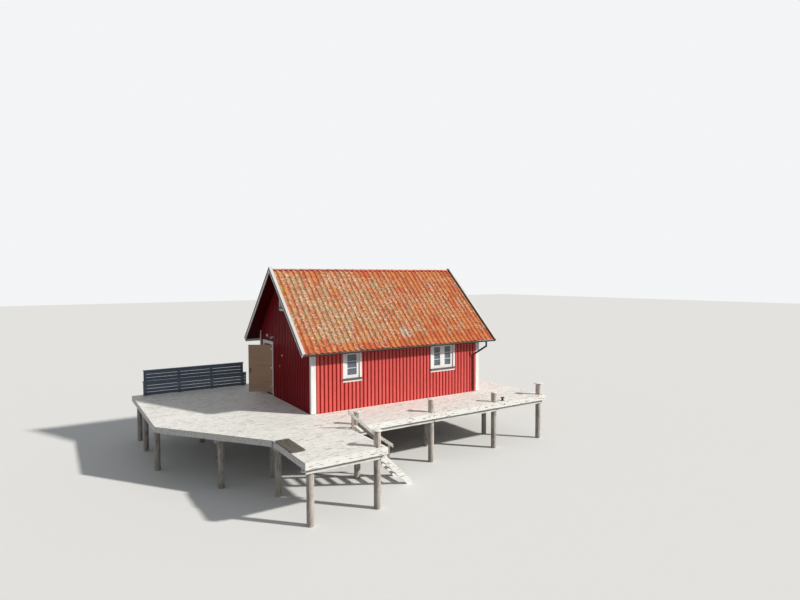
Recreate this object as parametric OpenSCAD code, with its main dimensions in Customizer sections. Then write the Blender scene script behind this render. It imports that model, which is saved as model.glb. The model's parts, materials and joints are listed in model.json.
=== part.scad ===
// Timber boathouse with a pantile roof, standing with its jetty, terrace and
// beach stair on round piles. Millimetres, +Z up. The origin is at the ground
// under the middle of the whole plan, and z = 0 is the foot of every pile.

/* [House] */
// Length of the long walls, over the corner boards
house_l = 7900; // [6600:100:9600]
// Width of the gables, over the corner boards
house_w = 5570; // [4640:10:6700]
// Thickness of a wall without its trim
wall_t = 122; // [100:1:160]
// Thickness of corner boards and casings
trim_t = 28; // [20:1:36]
// Width of a corner board on the long wall
corner_w = 190; // [120:5:220]
// Width of a corner board on the gable
corner_gable_w = 130; // [90:5:160]
// Height of the inside floor over the deck
floor_z = 120; // [80:5:180]

/* [Roof] */
// Slope of the roof in degrees
pitch = 43; // [38:1:48]
// Height of the roof's apex over the deck
ridge_z = 5374; // [5000:10:6400]
// How far the roof runs out past the gables
gable_out = 530; // [300:10:650]
// How far the roof runs out past the long walls
eave_out = 490; // [350:10:600]
// Thickness of the cap board on the verge
cap_t = 22; // [18:1:30]
// Width of the cap board
cap_w = 115; // [90:5:150]
// Depth of the bargeboard under its cap
barge_d = 130; // [100:5:160]
// Thickness of a bargeboard
barge_t = 25; // [20:1:32]
// Step from the cap's underside down to the tiles
tile_drop = 18; // [10:1:30]
// Thickness of the tiles with their battens
tile_t = 55; // [45:1:70]
// Thickness of the roof boarding
sarking_t = 22; // [18:1:28]
// Depth of a rafter
rafter_d = 148; // [123:1:173]
// Radius of the ridge tiles
ridge_r = 105; // [90:1:125]
// Radius of the gutters
gutter_r = 45; // [37:1:54]
// Outer diameter of the downpipes
pipe_d = 78; // [60:1:90]

/* [Windows] */
// Middle of the single window from the left corner
win_a_x = 1680; // [1300:10:2200]
// Width of the single window's hole
win_a_w = 620; // [500:10:750]
// Middle of the double window from the left corner
win_b_x = 5930; // [4800:10:6300]
// Width of the double window's hole
win_b_w = 1080; // [860:10:1300]
// Height of the window holes' lower edge over the deck
win_z = 1170; // [960:10:1250]
// Height of the window holes
win_h = 1000; // [830:10:1060]
// Width of a casing board
casing_w = 90; // [70:5:110]
// Width of a sash's stiles and rails
sash_stile = 115; // [85:1:125]
// Height of the gable window's lower edge over the deck
loft_z = 3750; // [3500:10:3850]
// Height of the gable window's hole
loft_h = 410; // [340:10:500]
// Width of the gable window's hole
loft_w = 520; // [430:10:630]

/* [Door] */
// Width of the door leaf
door_w = 980; // [800:10:1050]
// Height of the door leaf
door_h = 1990; // [1850:10:2100]
// Thickness of the door leaf
door_t = 45; // [38:1:54]
// Height of the leaf's lower edge over the deck
door_z = 140; // [125:5:200]
// Distance of the leaf's lock edge from the far gable corner
door_in = 540; // [450:10:900]
// How far the leaf stands open, in degrees
door_open = 57; // [0:1:110]

/* [Deck] */
// Depth of the jetty in front of the house
jetty_d = 2270; // [2000:10:2700]
// Width of the deck beyond the water gable
end_w = 1720; // [1400:10:2100]
// Length of the terrace beside the door gable
terrace_l = 5000; // [4600:10:5600]
// How far the terrace runs back past the house
terrace_back = 1580; // [1300:10:1900]
// How far the landing runs out past the jetty's edge
landing_out = 2470; // [2100:10:2900]
// Thickness of the planks
plank_t = 32; // [28:1:45]
// Depth of the joists
joist_d = 168; // [148:1:198]
// Width of joists and rim boards
joist_w = 48; // [36:1:60]
// Depth of the bearers
bearer_d = 150; // [123:1:198]
// Diameter of the round piles
pile_d = 215; // [180:1:260]
// Height of the deck over the foot of the piles
deck_h = 1850; // [1500:10:2400]

/* [Stair and fence] */
// Number of risers down to the ground
risers = 9; // [8:1:11]
// Width of the stair over its strings
stair_w = 900; // [750:10:1000]
// Height of the wind fence over the deck
fence_h = 1050; // [860:10:1260]
// Height of the fence's lower tier
fence_low_h = 570; // [450:10:640]

/* [Hidden] */

round_fn = 48;
small_fn = 24;
// Running clearance round the door leaf
gap = 5;
// Joint left between boards that meet end to end
joint = 1;
// Play between sloping or round faces that lie on each other
fit = 0.5;

// Plan limits, measured from the near corner of the door gable
deck_x0 = -terrace_l;
deck_x1 = house_l + end_w;
deck_y0 = -jetty_d - landing_out;
deck_y1 = house_w + terrace_back;

// Rows of piles
pile_in = 270;
row_front = -jetty_d + pile_in;
row_landing = deck_y0 + pile_in;
row_wall = -350;
row_back = house_w - 370;
row_fence = deck_y1 - 250;
row_mid = house_w / 2 - 200;
bay = 3080;
post_x0 = 780;
post_x = [post_x0, post_x0 + bay, post_x0 + 2 * bay, deck_x1 - 180];
landing_x0 = -2250;
landing_x1 = 330;
landing_post_x = landing_x1 - 210;

// Hinge edge of the door leaf, from the near gable corner
door_y = house_w - door_in - door_w;

// Places the whole model on its origin
module on_origin() {
    translate([-(deck_x0 + deck_x1) / 2, -(deck_y0 + deck_y1) / 2, deck_h]) children();
}

module box(x0, x1, y0, y1, z0, z1) {
    translate([x0, y0, z0]) cube([x1 - x0, y1 - y0, z1 - z0]);
}

// Turns a shape drawn as [y, z] into a bar along X
module along_x(x0, x1) {
    translate([x0, 0, 0]) rotate([90, 0, 90]) linear_extrude(x1 - x0) children();
}

// Repeats a shape on the front and, mirrored, on the back of the house
module both_sides() {
    children();
    translate([0, house_w, 0]) mirror([0, 1, 0]) children();
}

// Repeats a shape at the door gable and, mirrored, at the water gable
module both_ends() {
    children();
    translate([house_l, 0, 0]) mirror([1, 0, 0]) children();
}

// Roof layers, as depths below the plane of the cap boards' upper faces
d_barge = cap_t;
d_tile = cap_t + tile_drop;
d_sarking = d_tile + tile_t;
d_rafter = d_sarking + sarking_t;
d_rafter_low = d_rafter + rafter_d;
slope_l = (house_w / 2 + eave_out) / cos(pitch);

// A point of the front slope: s down the slope from the apex, d below the cap plane
function slope_pt(s, d) = [
    house_w / 2 - s * cos(pitch) + d * sin(pitch),
    ridge_z - s * sin(pitch) - d * cos(pitch)
];
// Where the plumb cut at the ridge meets a layer
function ridge_s(d) = d * tan(pitch);
// Height of a layer over a given y of the front slope
function roof_z(y, d) = ridge_z - (house_w / 2 - y) * tan(pitch) - d / cos(pitch);

// Half the width of the plumb joint at the ridge, measured along the slope
head = joint / 2 / cos(pitch);

module slope_layer(x0, x1, d0, d1, s_end, s_head = head) {
    along_x(x0, x1) polygon([
        slope_pt(ridge_s(d0) + s_head, d0), slope_pt(s_end, d0),
        slope_pt(s_end, d1), slope_pt(ridge_s(d1) + s_head, d1)
    ]);
}

// House base

sill_z0 = -plank_t - joist_d;
sill_z1 = -56;
sill_w = 200;
face = trim_t;
inner = trim_t + wall_t;

module house_sills() {
    color("#6b5a48") {
        both_sides() box(face, house_l - face, face, face + sill_w, sill_z0, sill_z1);
        both_ends() box(face, face + sill_w, face + sill_w + fit, house_w - face - sill_w - fit, sill_z0, sill_z1);
    }
}

floor_board_t = 28;
floor_joist_w = 48;
floor_joist_n = 12;

module floor_joists() {
    x0 = inner + 30;
    step = (house_l - 2 * x0 - floor_joist_w) / (floor_joist_n - 1);
    color("#b89b72") for (i = [0 : floor_joist_n - 1])
        translate([x0 + i * step, inner, sill_z1])
            cube([floor_joist_w, house_w - 2 * inner, floor_z - floor_board_t - sill_z1]);
}

module floor_boards() {
    color("#b28a5c") box(inner, house_l - inner, inner, house_w - inner, floor_z - floor_board_t, floor_z);
}

// Walls

plate_z = floor(roof_z(inner, d_rafter_low));

module window_holes(z0, h) {
    for (w = [[win_a_x, win_a_w], [win_b_x, win_b_w]])
        box(w[0] - w[1] / 2, w[0] + w[1] / 2, -10, inner + 10, z0, z0 + h);
}

module long_wall() {
    difference() {
        box(face, house_l - face, face, inner, sill_z1, plate_z);
        window_holes(win_z, win_h);
    }
}

module front_wall() {
    color("#a8322c") long_wall();
}

module back_wall() {
    color("#a8322c") translate([0, house_w, 0]) mirror([0, 1, 0]) long_wall();
}

// Outline of a gable between two values of y, up to the roof boarding
module gable_shape(y0, y1, z0) {
    tops = [
        for (y = [y1, house_w / 2, y0])
            if (y <= y1 && y >= y0) [y, roof_z(min(y, house_w - y), d_rafter)]
    ];
    polygon(concat([[y0, z0], [y1, z0]], tops));
}

// The gable's corners over the long walls are cut to clear the eave boards
module gable_wall_solid(y0, y1, z0) {
    along_x(face, inner) gable_shape(y0, y1, z0);
}

module loft_hole() {
    box(-10, inner + 10, (house_w - loft_w) / 2, (house_w + loft_w) / 2, loft_z, loft_z + loft_h);
}

frame_t = 40;
door_y0 = door_y - gap - frame_t;
door_y1 = door_y + door_w + gap + frame_t;
door_top = door_z + door_h + gap + frame_t;

module door_wall_near() {
    color("#8a2622") box(face, inner, inner, door_y0, sill_z1, door_top);
}

module door_wall_far() {
    color("#8a2622") box(face, inner, door_y1, house_w - inner, sill_z1, door_top);
}

module door_wall_over() {
    color("#8a2622") difference() {
        gable_wall_solid(inner, house_w - inner, door_top);
        loft_hole();
    }
}

module water_gable_wall() {
    color("#8a2622") translate([house_l, 0, 0]) mirror([1, 0, 0]) difference() {
        gable_wall_solid(inner, house_w - inner, sill_z1);
        loft_hole();
    }
}

// Roof frame

rafter_w = 48;
rafter_n = 10;
fascia_t = 22;
fascia_d = 50;
back_fascia_d = 100;
fascia_y = -eave_out + 38;
tail_y = fascia_y + fascia_t;
fascia_top = floor(roof_z(fascia_y, d_sarking)) - 4;

function rafter_x(i) = round(inner + i * (house_l - 2 * inner - rafter_w) / (rafter_n - 1));

// A rafter seated on the wall, with a shallow plumb-cut tail outside it
module rafter() {
    along_x(0, rafter_w) polygon([
        slope_pt(ridge_s(d_rafter) + head, d_rafter),
        [tail_y, roof_z(tail_y, d_rafter)],
        [tail_y, fascia_top - fascia_d + 5],
        [face, plate_z],
        [inner, plate_z],
        slope_pt(ridge_s(d_rafter_low) + head, d_rafter_low)
    ]);
}

module rafters() {
    color("#a98c66") for (i = [0 : rafter_n - 1]) {
        translate([rafter_x(i), 0, 0]) both_sides() rafter();
    }
}

tie_w = 48;
tie_d = 148;

module tie_beams() {
    y0 = inner;
    color("#a98c66") for (i = [1 : 2 : rafter_n - 2])
        box(rafter_x(i) + rafter_w, rafter_x(i) + rafter_w + tie_w, y0, house_w - y0, plate_z - tie_d, plate_z - 1);
}

// Boards that close the eave between the rafters, over the wall
module eave_boards() {
    board_t = 22;
    color("#8a2622") for (i = [0 : rafter_n - 2])
        both_sides() along_x(rafter_x(i) + rafter_w, rafter_x(i + 1)) polygon([
            [face, plate_z], [face + board_t, plate_z],
            [face + board_t, roof_z(face + board_t, d_rafter)], [face, roof_z(face, d_rafter)]
        ]);
}

// A board on the ends of the rafters, which carries a gutter
module fascia(depth) {
    box(-gable_out + barge_t, house_l + gable_out - barge_t, fascia_y, tail_y, fascia_top - depth, fascia_top);
}

module fascias() {
    color("#e4e2dc") {
        fascia(fascia_d);
        translate([0, house_w, 0]) mirror([0, 1, 0]) fascia(back_fascia_d);
    }
}

// Half of the roof boarding, cut off plumb behind the fascia
module boarding() {
    s_end = (house_w / 2 - tail_y) / cos(pitch) + d_sarking * tan(pitch);
    slope_layer(-gable_out + barge_t, house_l + gable_out - barge_t, d_sarking, d_rafter - fit, s_end - 25);
}

module roof_boards_front() {
    color("#9c8a70") boarding();
}

module roof_boards_back() {
    color("#9c8a70") translate([0, house_w, 0]) mirror([0, 1, 0]) boarding();
}

// The tiles stop short of the ridge, under the ridge tiles
ridge_open = 65;

module tile_field() {
    slope_layer(-gable_out + barge_t, house_l + gable_out - barge_t,
        d_tile, d_sarking - fit, slope_l + 10, ridge_open / cos(pitch));
}

module roof_tiles_front() {
    color("#cf7f5a") tile_field();
}

module roof_tiles_back() {
    color("#cf7f5a") translate([0, house_w, 0]) mirror([0, 1, 0]) tile_field();
}

module ridge_tiles() {
    ridge_l = 395;
    x0 = -gable_out + cap_w;
    x1 = house_l + gable_out - cap_w;
    count = round((x1 - x0) / ridge_l);
    step = (x1 - x0) / count;
    top = ridge_z - 70;
    under_z = roof_z(house_w / 2 - ridge_open + 3, d_tile - fit);
    color("#d98362") for (i = [0 : count - 1])
        along_x(x0 + i * step, x0 + (i + 1) * step - joint) difference() {
            translate([house_w / 2, top - ridge_r]) circle(r = ridge_r, $fn = round_fn);
            translate([house_w / 2, top - ridge_r]) circle(r = ridge_r - 18, $fn = round_fn);
            for (side = [-1, 1]) translate([house_w / 2, 0]) scale([side, 1]) polygon([
                [0, ridge_z - 1500], [0, under_z], [ridge_open - 3, under_z],
                [400, under_z - (403 - ridge_open) * tan(pitch)], [400, ridge_z - 1500]
            ]);
        }
}

module bargeboards() {
    color("#e8e6e0") both_ends() both_sides()
        slope_layer(-gable_out, -gable_out + barge_t - joint / 2, d_barge + fit, d_barge + barge_d, slope_l + 75);
}

module barge_caps() {
    color("#f2f0ea") both_ends() both_sides()
        slope_layer(-gable_out - 8, -gable_out - 8 + cap_w, 0, cap_t, slope_l + 45);
}

// Gutters and downpipes

gutter_wall = 3;
gutter_n = 4;
hook_t = 5;
gutter_y = fascia_y - gutter_r - hook_t;
gutter_z = fascia_top + 19;
pipe_x = house_l - corner_w - 165;
outlet_x = house_l - 30;

gutter_x0 = -gable_out + barge_t + 10;
gutter_x1 = house_l + gable_out - barge_t - 10;
gutter_l = (gutter_x1 - gutter_x0 + joint) / gutter_n;
spigot_r = pipe_d / 2 - 8;
spigot_h = 45;

// A half-round trough, with stop ends where they are asked for
module trough(x0, x1, end0, end1) {
    difference() {
        along_x(x0, x1) difference() {
            translate([gutter_y, gutter_z]) circle(r = gutter_r, $fn = round_fn);
            translate([gutter_y - 2 * gutter_r, gutter_z]) square([4 * gutter_r, 2 * gutter_r]);
        }
        along_x(x0 + (end0 ? gutter_wall : -1), x1 - (end1 ? gutter_wall : -1))
            translate([gutter_y, gutter_z]) circle(r = gutter_r - gutter_wall, $fn = round_fn);
    }
}

// The four lengths of one gutter, with the outlet's spigot under the last
module gutter() {
    for (i = [0 : gutter_n - 2])
        trough(gutter_x0 + i * gutter_l, gutter_x0 + (i + 1) * gutter_l - joint, i == 0, false);
    difference() {
        union() {
            trough(gutter_x1 - gutter_l + joint, gutter_x1, false, true);
            difference() {
                translate([outlet_x, gutter_y, gutter_z - gutter_r - spigot_h])
                    cylinder(r = spigot_r, h = spigot_h + gutter_r / 2, $fn = round_fn);
                along_x(outlet_x - 2 * gutter_r, outlet_x + 2 * gutter_r)
                    translate([gutter_y, gutter_z]) circle(r = gutter_r - gutter_wall, $fn = round_fn);
            }
        }
        translate([outlet_x, gutter_y, gutter_z - gutter_r - spigot_h - 10])
            cylinder(r = spigot_r - gutter_wall, h = spigot_h + gutter_r, $fn = round_fn);
    }
}

module gutters() {
    color("#8d8d8e") both_sides() gutter();
}

// Half-ring hooks that hang each gutter on its fascia
module gutter_hooks() {
    hook_w = 25;
    count = 12;
    step = (gutter_x1 - gutter_x0 - 260) / (count - 1);
    ring_r = gutter_r + hook_t;
    plate_z0 = fascia_top - 35;
    color("#7c7d7e") both_sides() for (i = [0 : count - 1])
        along_x(gutter_x0 + 115 + i * step, gutter_x0 + 115 + hook_w + i * step) {
            difference() {
                translate([gutter_y, gutter_z]) circle(r = ring_r, $fn = round_fn);
                translate([gutter_y, gutter_z]) circle(r = gutter_r + fit, $fn = round_fn);
                translate([gutter_y - 2 * gutter_r, gutter_z]) square([4 * gutter_r, 2 * gutter_r]);
            }
            translate([fascia_y - hook_t + fit, plate_z0]) square([hook_t - fit, gutter_z - plate_z0]);
        }
}

// A straight stretch of pipe between two points
module pipe_run(a, b, r) {
    v = b - a;
    translate(a) rotate([0, acos(v[2] / norm(v)), atan2(v[1], v[0])])
        cylinder(r = r, h = norm(v), $fn = small_fn);
}

pipe_wall_gap = 30;
pipe_y = face - pipe_wall_gap - pipe_d / 2;
pipe_top = [outlet_x, gutter_y, gutter_z - gutter_r - 4];
pipe_elbow = [outlet_x, gutter_y, gutter_z - gutter_r - 200];
pipe_knee = [pipe_x, pipe_y, gutter_z - gutter_r - 590];
pipe_foot = [pipe_x, pipe_y, 60];

module downpipe() {
    r = pipe_d / 2;
    difference() {
        translate(pipe_elbow) cylinder(r = r, h = pipe_top[2] - pipe_elbow[2], $fn = small_fn);
        translate([outlet_x, gutter_y, pipe_top[2] - spigot_h - 5])
            cylinder(r = spigot_r + fit, h = spigot_h + 10, $fn = small_fn);
    }
    pipe_run(pipe_elbow, pipe_knee, r);
    for (bend = [pipe_elbow, pipe_knee]) translate(bend) sphere(r = r + 2, $fn = small_fn);
    translate(pipe_foot) cylinder(r = r, h = pipe_knee[2] - pipe_foot[2], $fn = small_fn);
    for (z = [350, floor(pipe_knee[2]) - 150])
        box(pipe_x - 12, pipe_x + 12, pipe_y, face, z, z + 30);
}

module downpipes() {
    color("#23282c") both_sides() downpipe();
}

module corner_boards() {
    top = plate_z - 90;
    color("#f0efe9") both_ends() both_sides() {
        box(0, corner_w, 0, face, 5, top);
        box(0, face, face + joint, corner_gable_w, 5, roof_z(face + joint, d_rafter) - 10);
    }
}

// Windows

sill_t = 45;
sill_out = 45;
sill_fall = 12;
apron_w = 85;
// Upper edge of the apron board, measured down from the hole
apron_top = sill_t + sill_fall / 2 + 2 * joint;

// Head and side casings, and the apron board under the sill
module casing_boards(x0, x1, z0, z1) {
    w = casing_w;
    box(x0 - w, x0, 0, face, z0, z1 + w);
    box(x1, x1 + w, 0, face, z0, z1 + w);
    box(x0 + joint, x1 - joint, 0, face, z1, z1 + w);
    box(x0 - w, x1 + w, 0, face, z0 - apron_top - apron_w, z0 - apron_top);
}

// Lays a shape that is drawn for the front wall on the door gable
module on_gable() {
    translate([0, house_w, 0]) rotate([0, 0, -90]) children();
}

loft_x0 = (house_w - loft_w) / 2;
loft_x1 = (house_w + loft_w) / 2;

module window_casings() {
    color("#f2f1ec") {
        both_sides() for (w = [[win_a_x, win_a_w], [win_b_x, win_b_w]])
            casing_boards(w[0] - w[1] / 2, w[0] + w[1] / 2, win_z, win_z + win_h);
        both_ends() on_gable() casing_boards(loft_x0, loft_x1, loft_z, loft_z + loft_h);
    }
}

module window_sill(x0, x1, z0) {
    translate([0, 0, z0 - joint]) along_x(x0 - casing_w - 10, x1 + casing_w + 10)
        polygon([[face, 0], [face, -sill_t], [-sill_out, -sill_t - sill_fall], [-sill_out, -16]]);
}

module window_sills() {
    color("#6f6a64") {
        both_sides() for (w = [[win_a_x, win_a_w], [win_b_x, win_b_w]])
            window_sill(w[0] - w[1] / 2, w[0] + w[1] / 2, win_z);
        both_ends() on_gable() window_sill(loft_x0, loft_x1, loft_z);
    }
}

sash_y = 40;
sash_t = 44;
glass_t = 4;

// One sash: a rebated ring that fills its share of the hole
module sash(x0, x1, z0, z1) {
    difference() {
        box(x0, x1, sash_y, sash_y + sash_t, z0, z1);
        box(x0 + sash_stile, x1 - sash_stile, 0, 200, z0 + sash_stile, z1 - sash_stile);
    }
}

module pane(x0, x1, z0, z1) {
    box(x0 + sash_stile, x1 - sash_stile, sash_y + sash_t / 2, sash_y + sash_t / 2 + glass_t,
        z0 + sash_stile, z1 - sash_stile);
}

module each_sash() {
    $z0 = win_z;
    $z1 = win_z + win_h;
    both_sides() {
        let($x0 = win_a_x - win_a_w / 2, $x1 = win_a_x + win_a_w / 2) children();
        let($x0 = win_b_x - win_b_w / 2, $x1 = win_b_x - joint / 2) children();
        let($x0 = win_b_x + joint / 2, $x1 = win_b_x + win_b_w / 2) children();
    }
    both_ends() on_gable()
        let($x0 = loft_x0, $x1 = loft_x1, $z0 = loft_z, $z1 = loft_z + loft_h) children();
}

module window_sashes() {
    color("#eceae4") each_sash() sash($x0, $x1, $z0, $z1);
}

module window_glass() {
    color("#7d98a6") each_sash() pane($x0, $x1, $z0, $z1);
}

// Door

leaf_x = -gap;
pin_r = 7;
pin_x = leaf_x - pin_r;
pin_y = door_y - gap / 2;
stop_w = 14;
threshold_t = 40;

// Turns a shape that is drawn closed to where the door stands open
module door_pose() {
    translate([pin_x, pin_y, 0]) rotate([0, 0, door_open]) translate([-pin_x, -pin_y, 0]) children();
}

module door_frame() {
    z0 = door_z - gap;
    y0 = door_y - gap;
    y1 = door_y + door_w + gap;
    stop_x = leaf_x + door_t + gap;
    color("#efeee8") {
        box(0, inner, door_y0, y0, z0 - threshold_t, door_top);
        box(0, inner, y1, door_y1, z0 - threshold_t, door_top);
        box(0, inner, y0 + joint, y1 - joint, door_top - frame_t, door_top);
        box(stop_x, inner, y0, y0 + stop_w, z0 + joint, door_top - frame_t - joint);
        box(stop_x, inner, y1 - stop_w, y1, z0 + joint, door_top - frame_t - joint);
        box(stop_x, inner, y0 + stop_w + joint, y1 - stop_w - joint,
            door_top - frame_t - stop_w, door_top - frame_t);
    }
    color("#8d7a5e") box(-12, inner, y0 + joint, y1 - joint, z0 - threshold_t, z0);
}

module door_casing() {
    y0 = door_y0;
    y1 = door_y1;
    color("#efeee8") {
        box(0, face, y0 - casing_w, y0, 5, door_top + casing_w);
        box(0, face, y1, y1 + casing_w, 5, door_top + casing_w);
        box(0, face, y0 + joint, y1 - joint, door_top, door_top + casing_w);
    }
}

hinge_z = [door_z + 200, door_z + door_h / 2, door_z + door_h - 200];
knuckle_h = 48;
plate_t = 3;
hinge_plate_w = 34;

// Frame halves of the three lift-off hinges
module door_hinges() {
    color("#8c8f92") for (z = hinge_z) {
        translate([pin_x, pin_y, z - knuckle_h]) cylinder(r = pin_r, h = knuckle_h - 0.4, $fn = small_fn);
        box(pin_x - 1, 0, door_y - gap - hinge_plate_w, pin_y - pin_r + 2, z - knuckle_h, z - 0.4);
    }
}

module door_leaf() {
    color("#b9a98a") door_pose() {
        box(leaf_x, leaf_x + door_t, door_y, door_y + door_w, door_z, door_z + door_h);
        for (z = hinge_z) {
            translate([pin_x, pin_y, z]) cylinder(r = pin_r, h = knuckle_h, $fn = small_fn);
            box(leaf_x - plate_t, leaf_x, pin_y + 3, door_y + hinge_plate_w, z, z + knuckle_h);
        }
    }
}

handle_z = 1080;
handle_in = 62;

module lever(side) {
    lever_r = 9;
    reach = 48;
    x = side > 0 ? leaf_x + door_t : leaf_x;
    y = door_y + door_w - handle_in;
    translate([x, y, handle_z]) mirror([side > 0 ? 0 : 1, 0, 0]) {
        translate([0.1, -22, -150]) cube([6, 44, 230]);
        translate([6, 0, 0]) rotate([0, 90, 0]) cylinder(r = lever_r, h = reach, $fn = small_fn);
        translate([6 + reach, 0, 0]) sphere(r = lever_r, $fn = small_fn);
        translate([6 + reach, 0, 0]) rotate([90, 0, 0]) cylinder(r = lever_r, h = 120, $fn = small_fn);
    }
}

module door_handles() {
    color("#3a3733") door_pose() {
        lever(1);
        lever(-1);
    }
}

// Fittings on the door gable

module gable_lamps() {
    color("#e4e2de") {
        // Round bulkhead lamp over the doorway
        translate([face, door_y + 550, 2480]) rotate([0, -90, 0]) {
            cylinder(r = 75, h = 34, $fn = round_fn);
            translate([0, 0, 34]) cylinder(r1 = 62, r2 = 40, h = 40, $fn = round_fn);
        }
        // Spot lamp on a short arm
        translate([face, door_y - 320, 2490]) rotate([0, -90, 0]) cylinder(r = 40, h = 20, $fn = small_fn);
        translate([face - 20, door_y - 320, 2490]) rotate([0, -90, 0]) cylinder(r = 12, h = 60, $fn = small_fn);
        translate([face - 90, door_y - 320, 2490]) rotate([0, -90, -25]) {
            sphere(r = 34, $fn = small_fn);
            cylinder(r1 = 30, r2 = 52, h = 95, $fn = small_fn);
        }
        // Small round lamp at the head of the conduit
        translate([face, door_y - 1180, 1815]) rotate([0, -90, 0]) {
            cylinder(r = 45, h = 30, $fn = small_fn);
            translate([0, 0, 30]) cylinder(r1 = 38, r2 = 24, h = 24, $fn = small_fn);
        }
    }
}

module lamp_conduit() {
    color("#7c6a66") {
        translate([face - 10, door_y - 1220, 60]) cylinder(r = 10, h = 1700, $fn = small_fn);
        box(face - 45, face, door_y - 935, door_y - 865, 1310, 1400);
    }
}

// Deck planking

plank_gap = 4;
terrace_y = 1400;
terrace_shape = [
    [deck_x0, deck_y1], [deck_x0, terrace_y], [landing_x0, -jetty_d],
    [-plank_gap, -jetty_d], [-plank_gap, deck_y1]
];
function terrace_edge(y) = landing_x0 + (deck_x0 - landing_x0) * (y + jetty_d) / (terrace_y + jetty_d);

module planks(shape) {
    translate([0, 0, -plank_t]) linear_extrude(plank_t) polygon(shape);
}

function rect(x0, x1, y0, y1) = [[x0, y0], [x1, y0], [x1, y1], [x0, y1]];

module terrace_planks() {
    color("#c9bfae") planks(terrace_shape);
}

module landing_planks() {
    color("#c9bfae") difference() {
        planks(rect(landing_x0, landing_x1, deck_y0, -jetty_d - plank_gap));
        translate([landing_post_x, row_landing, -plank_t - 1])
            cylinder(r = pile_d / 2 + 1, h = plank_t + 2, $fn = round_fn);
    }
}

module jetty_planks() {
    color("#d3c9b8") difference() {
        planks(rect(0, deck_x1, -jetty_d, -plank_gap));
        for (x = post_x) translate([x, row_front, -plank_t - 1])
            cylinder(r = pile_d / 2 + 1, h = plank_t + 2, $fn = round_fn);
    }
}

module end_planks() {
    color("#d3c9b8") planks(rect(house_l + plank_gap, deck_x1, 0, house_w));
}

// A raised panel of old boards that lies across the landing's left edge
module dark_planks() {
    count = 3;
    width = 435;
    step = width / count;
    color("#5d564e") {
        for (i = [0 : count - 1])
            box(landing_x0 + i * step, landing_x0 + (i + 1) * step - 8, -3750, -2450, 20, 45);
        for (y = [-3650, -2645]) box(landing_x0, landing_x0 + width - 8, y, y + 95, 0, 20);
    }
}

// Deck frame

joist_z0 = -plank_t - joist_d;
bearer_z0 = joist_z0 - bearer_d;
joist_step = 600;

module joist(x, y0, y1) {
    box(x, x + joist_w, y0, y1, joist_z0, -plank_t);
}

// The terrace's outline, drawn in by the thickness of its rim boards
terrace_inner = [
    [deck_x0 + joist_w, deck_y1 - joist_w], [deck_x0 + joist_w, terrace_y + 20],
    [landing_x0 + 90, -jetty_d + joint],
    [-joist_w - joint, -jetty_d + joint], [-joist_w - joint, deck_y1 - joist_w]
];

module clear_of_pile(x, y) {
    difference() {
        children();
        translate([x, y, joist_z0 - 1]) cylinder(r = pile_d / 2 + 2, h = joist_d + 2, $fn = round_fn);
    }
}

module deck_joists() {
    jetty_y0 = -jetty_d + joist_w;
    color("#8f8473") {
        // Jetty joists, from the rim to the house sill or right through past the gable
        for (x = [landing_x1 + 120 : joist_step : deck_x1 - joist_w - 130])
            if (min([for (p = post_x) abs(x + joist_w / 2 - p)]) > pile_d / 2 + joist_w / 2 + 2)
                joist(x, jetty_y0, x > house_l ? house_w - joist_w : (x + joist_w < house_l - face ? face : -joint));
        joist(10, -jetty_d + 2, -joint);
        // Landing joists, carried on past the landing to the jetty's bearers
        for (x = [landing_x0 + 300 : joist_step : landing_x1 - joist_w - 260])
            joist(x, deck_y0 + joist_w, row_front + pile_d);
        // Terrace joists, cut to the slanting rim
        intersection() {
            translate([0, 0, joist_z0]) linear_extrude(joist_d) polygon(terrace_inner);
            for (x = [deck_x0 + 380 : joist_step : -joist_w - 200]) joist(x, deck_y0, deck_y1);
        }
    }
}

// A rim board along the left-hand side of the line from a to b
module rim(a, b, trim_a, trim_b) {
    v = b - a;
    translate([a[0], a[1], joist_z0]) rotate([0, 0, atan2(v[1], v[0])])
        translate([trim_a, 0, 0]) cube([norm(v) - trim_a - trim_b, joist_w, joist_d]);
}

module deck_rims() {
    w = joist_w + joint;
    t = terrace_shape;
    color("#c2b8a6") {
        // Jetty and end deck
        rim([landing_x1 + joint, -jetty_d], [deck_x1, -jetty_d], 0, 0);
        rim([deck_x1, -jetty_d], [deck_x1, house_w], w, 0);
        rim([deck_x1, house_w], [house_l + plank_gap, house_w], w, 0);
        // Landing
        rim([landing_x0, -jetty_d], [landing_x0, deck_y0], joint, 0);
        rim([landing_x0, deck_y0], [landing_x1, deck_y0], w, 0);
        rim([landing_x1, deck_y0], [landing_x1, -jetty_d], w, joint);
        // Terrace
        rim(t[0], t[1], w, 0);
        rim(t[1], t[2], 30, 60);
        rim([-plank_gap, house_w + 20], [-plank_gap, deck_y1], 0, 0);
        rim([-plank_gap, deck_y1], t[0], w, 0);
    }
}

// A pair of bearers bolted to both sides of a row of piles
module bearer_pair(x0, x1, y) {
    for (side = [-1, 1])
        translate([x0, y + side * (pile_d / 2 + joist_w / 2) - joist_w / 2, bearer_z0])
            cube([x1 - x0, joist_w, bearer_d]);
}

beam_w = 98;

module bearer_on_piles(x0, x1, y) {
    box(x0, x1, y - beam_w / 2, y + beam_w / 2, bearer_z0, joist_z0);
}

module deck_bearers() {
    color("#b5ab99") {
        bearer_pair(landing_x0 + 60, deck_x1 - 110, row_front);
        bearer_pair(landing_x0 + 60, landing_x1 - 20, row_landing);
        bearer_on_piles(10, deck_x1 - 110, row_wall);
        bearer_on_piles(house_l + 60, deck_x1 - 110, row_mid);
        bearer_on_piles(house_l + 60, deck_x1 - 110, row_back);
        bearer_on_piles(ceil(terrace_edge(row_wall)) + 180, -60, row_wall);
        bearer_on_piles(deck_x0 + 100, -60, row_mid);
        bearer_on_piles(deck_x0 + 100, -60, row_back);
        bearer_on_piles(deck_x0 + 100, -60, row_fence - 60);
    }
}

// Piles

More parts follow.
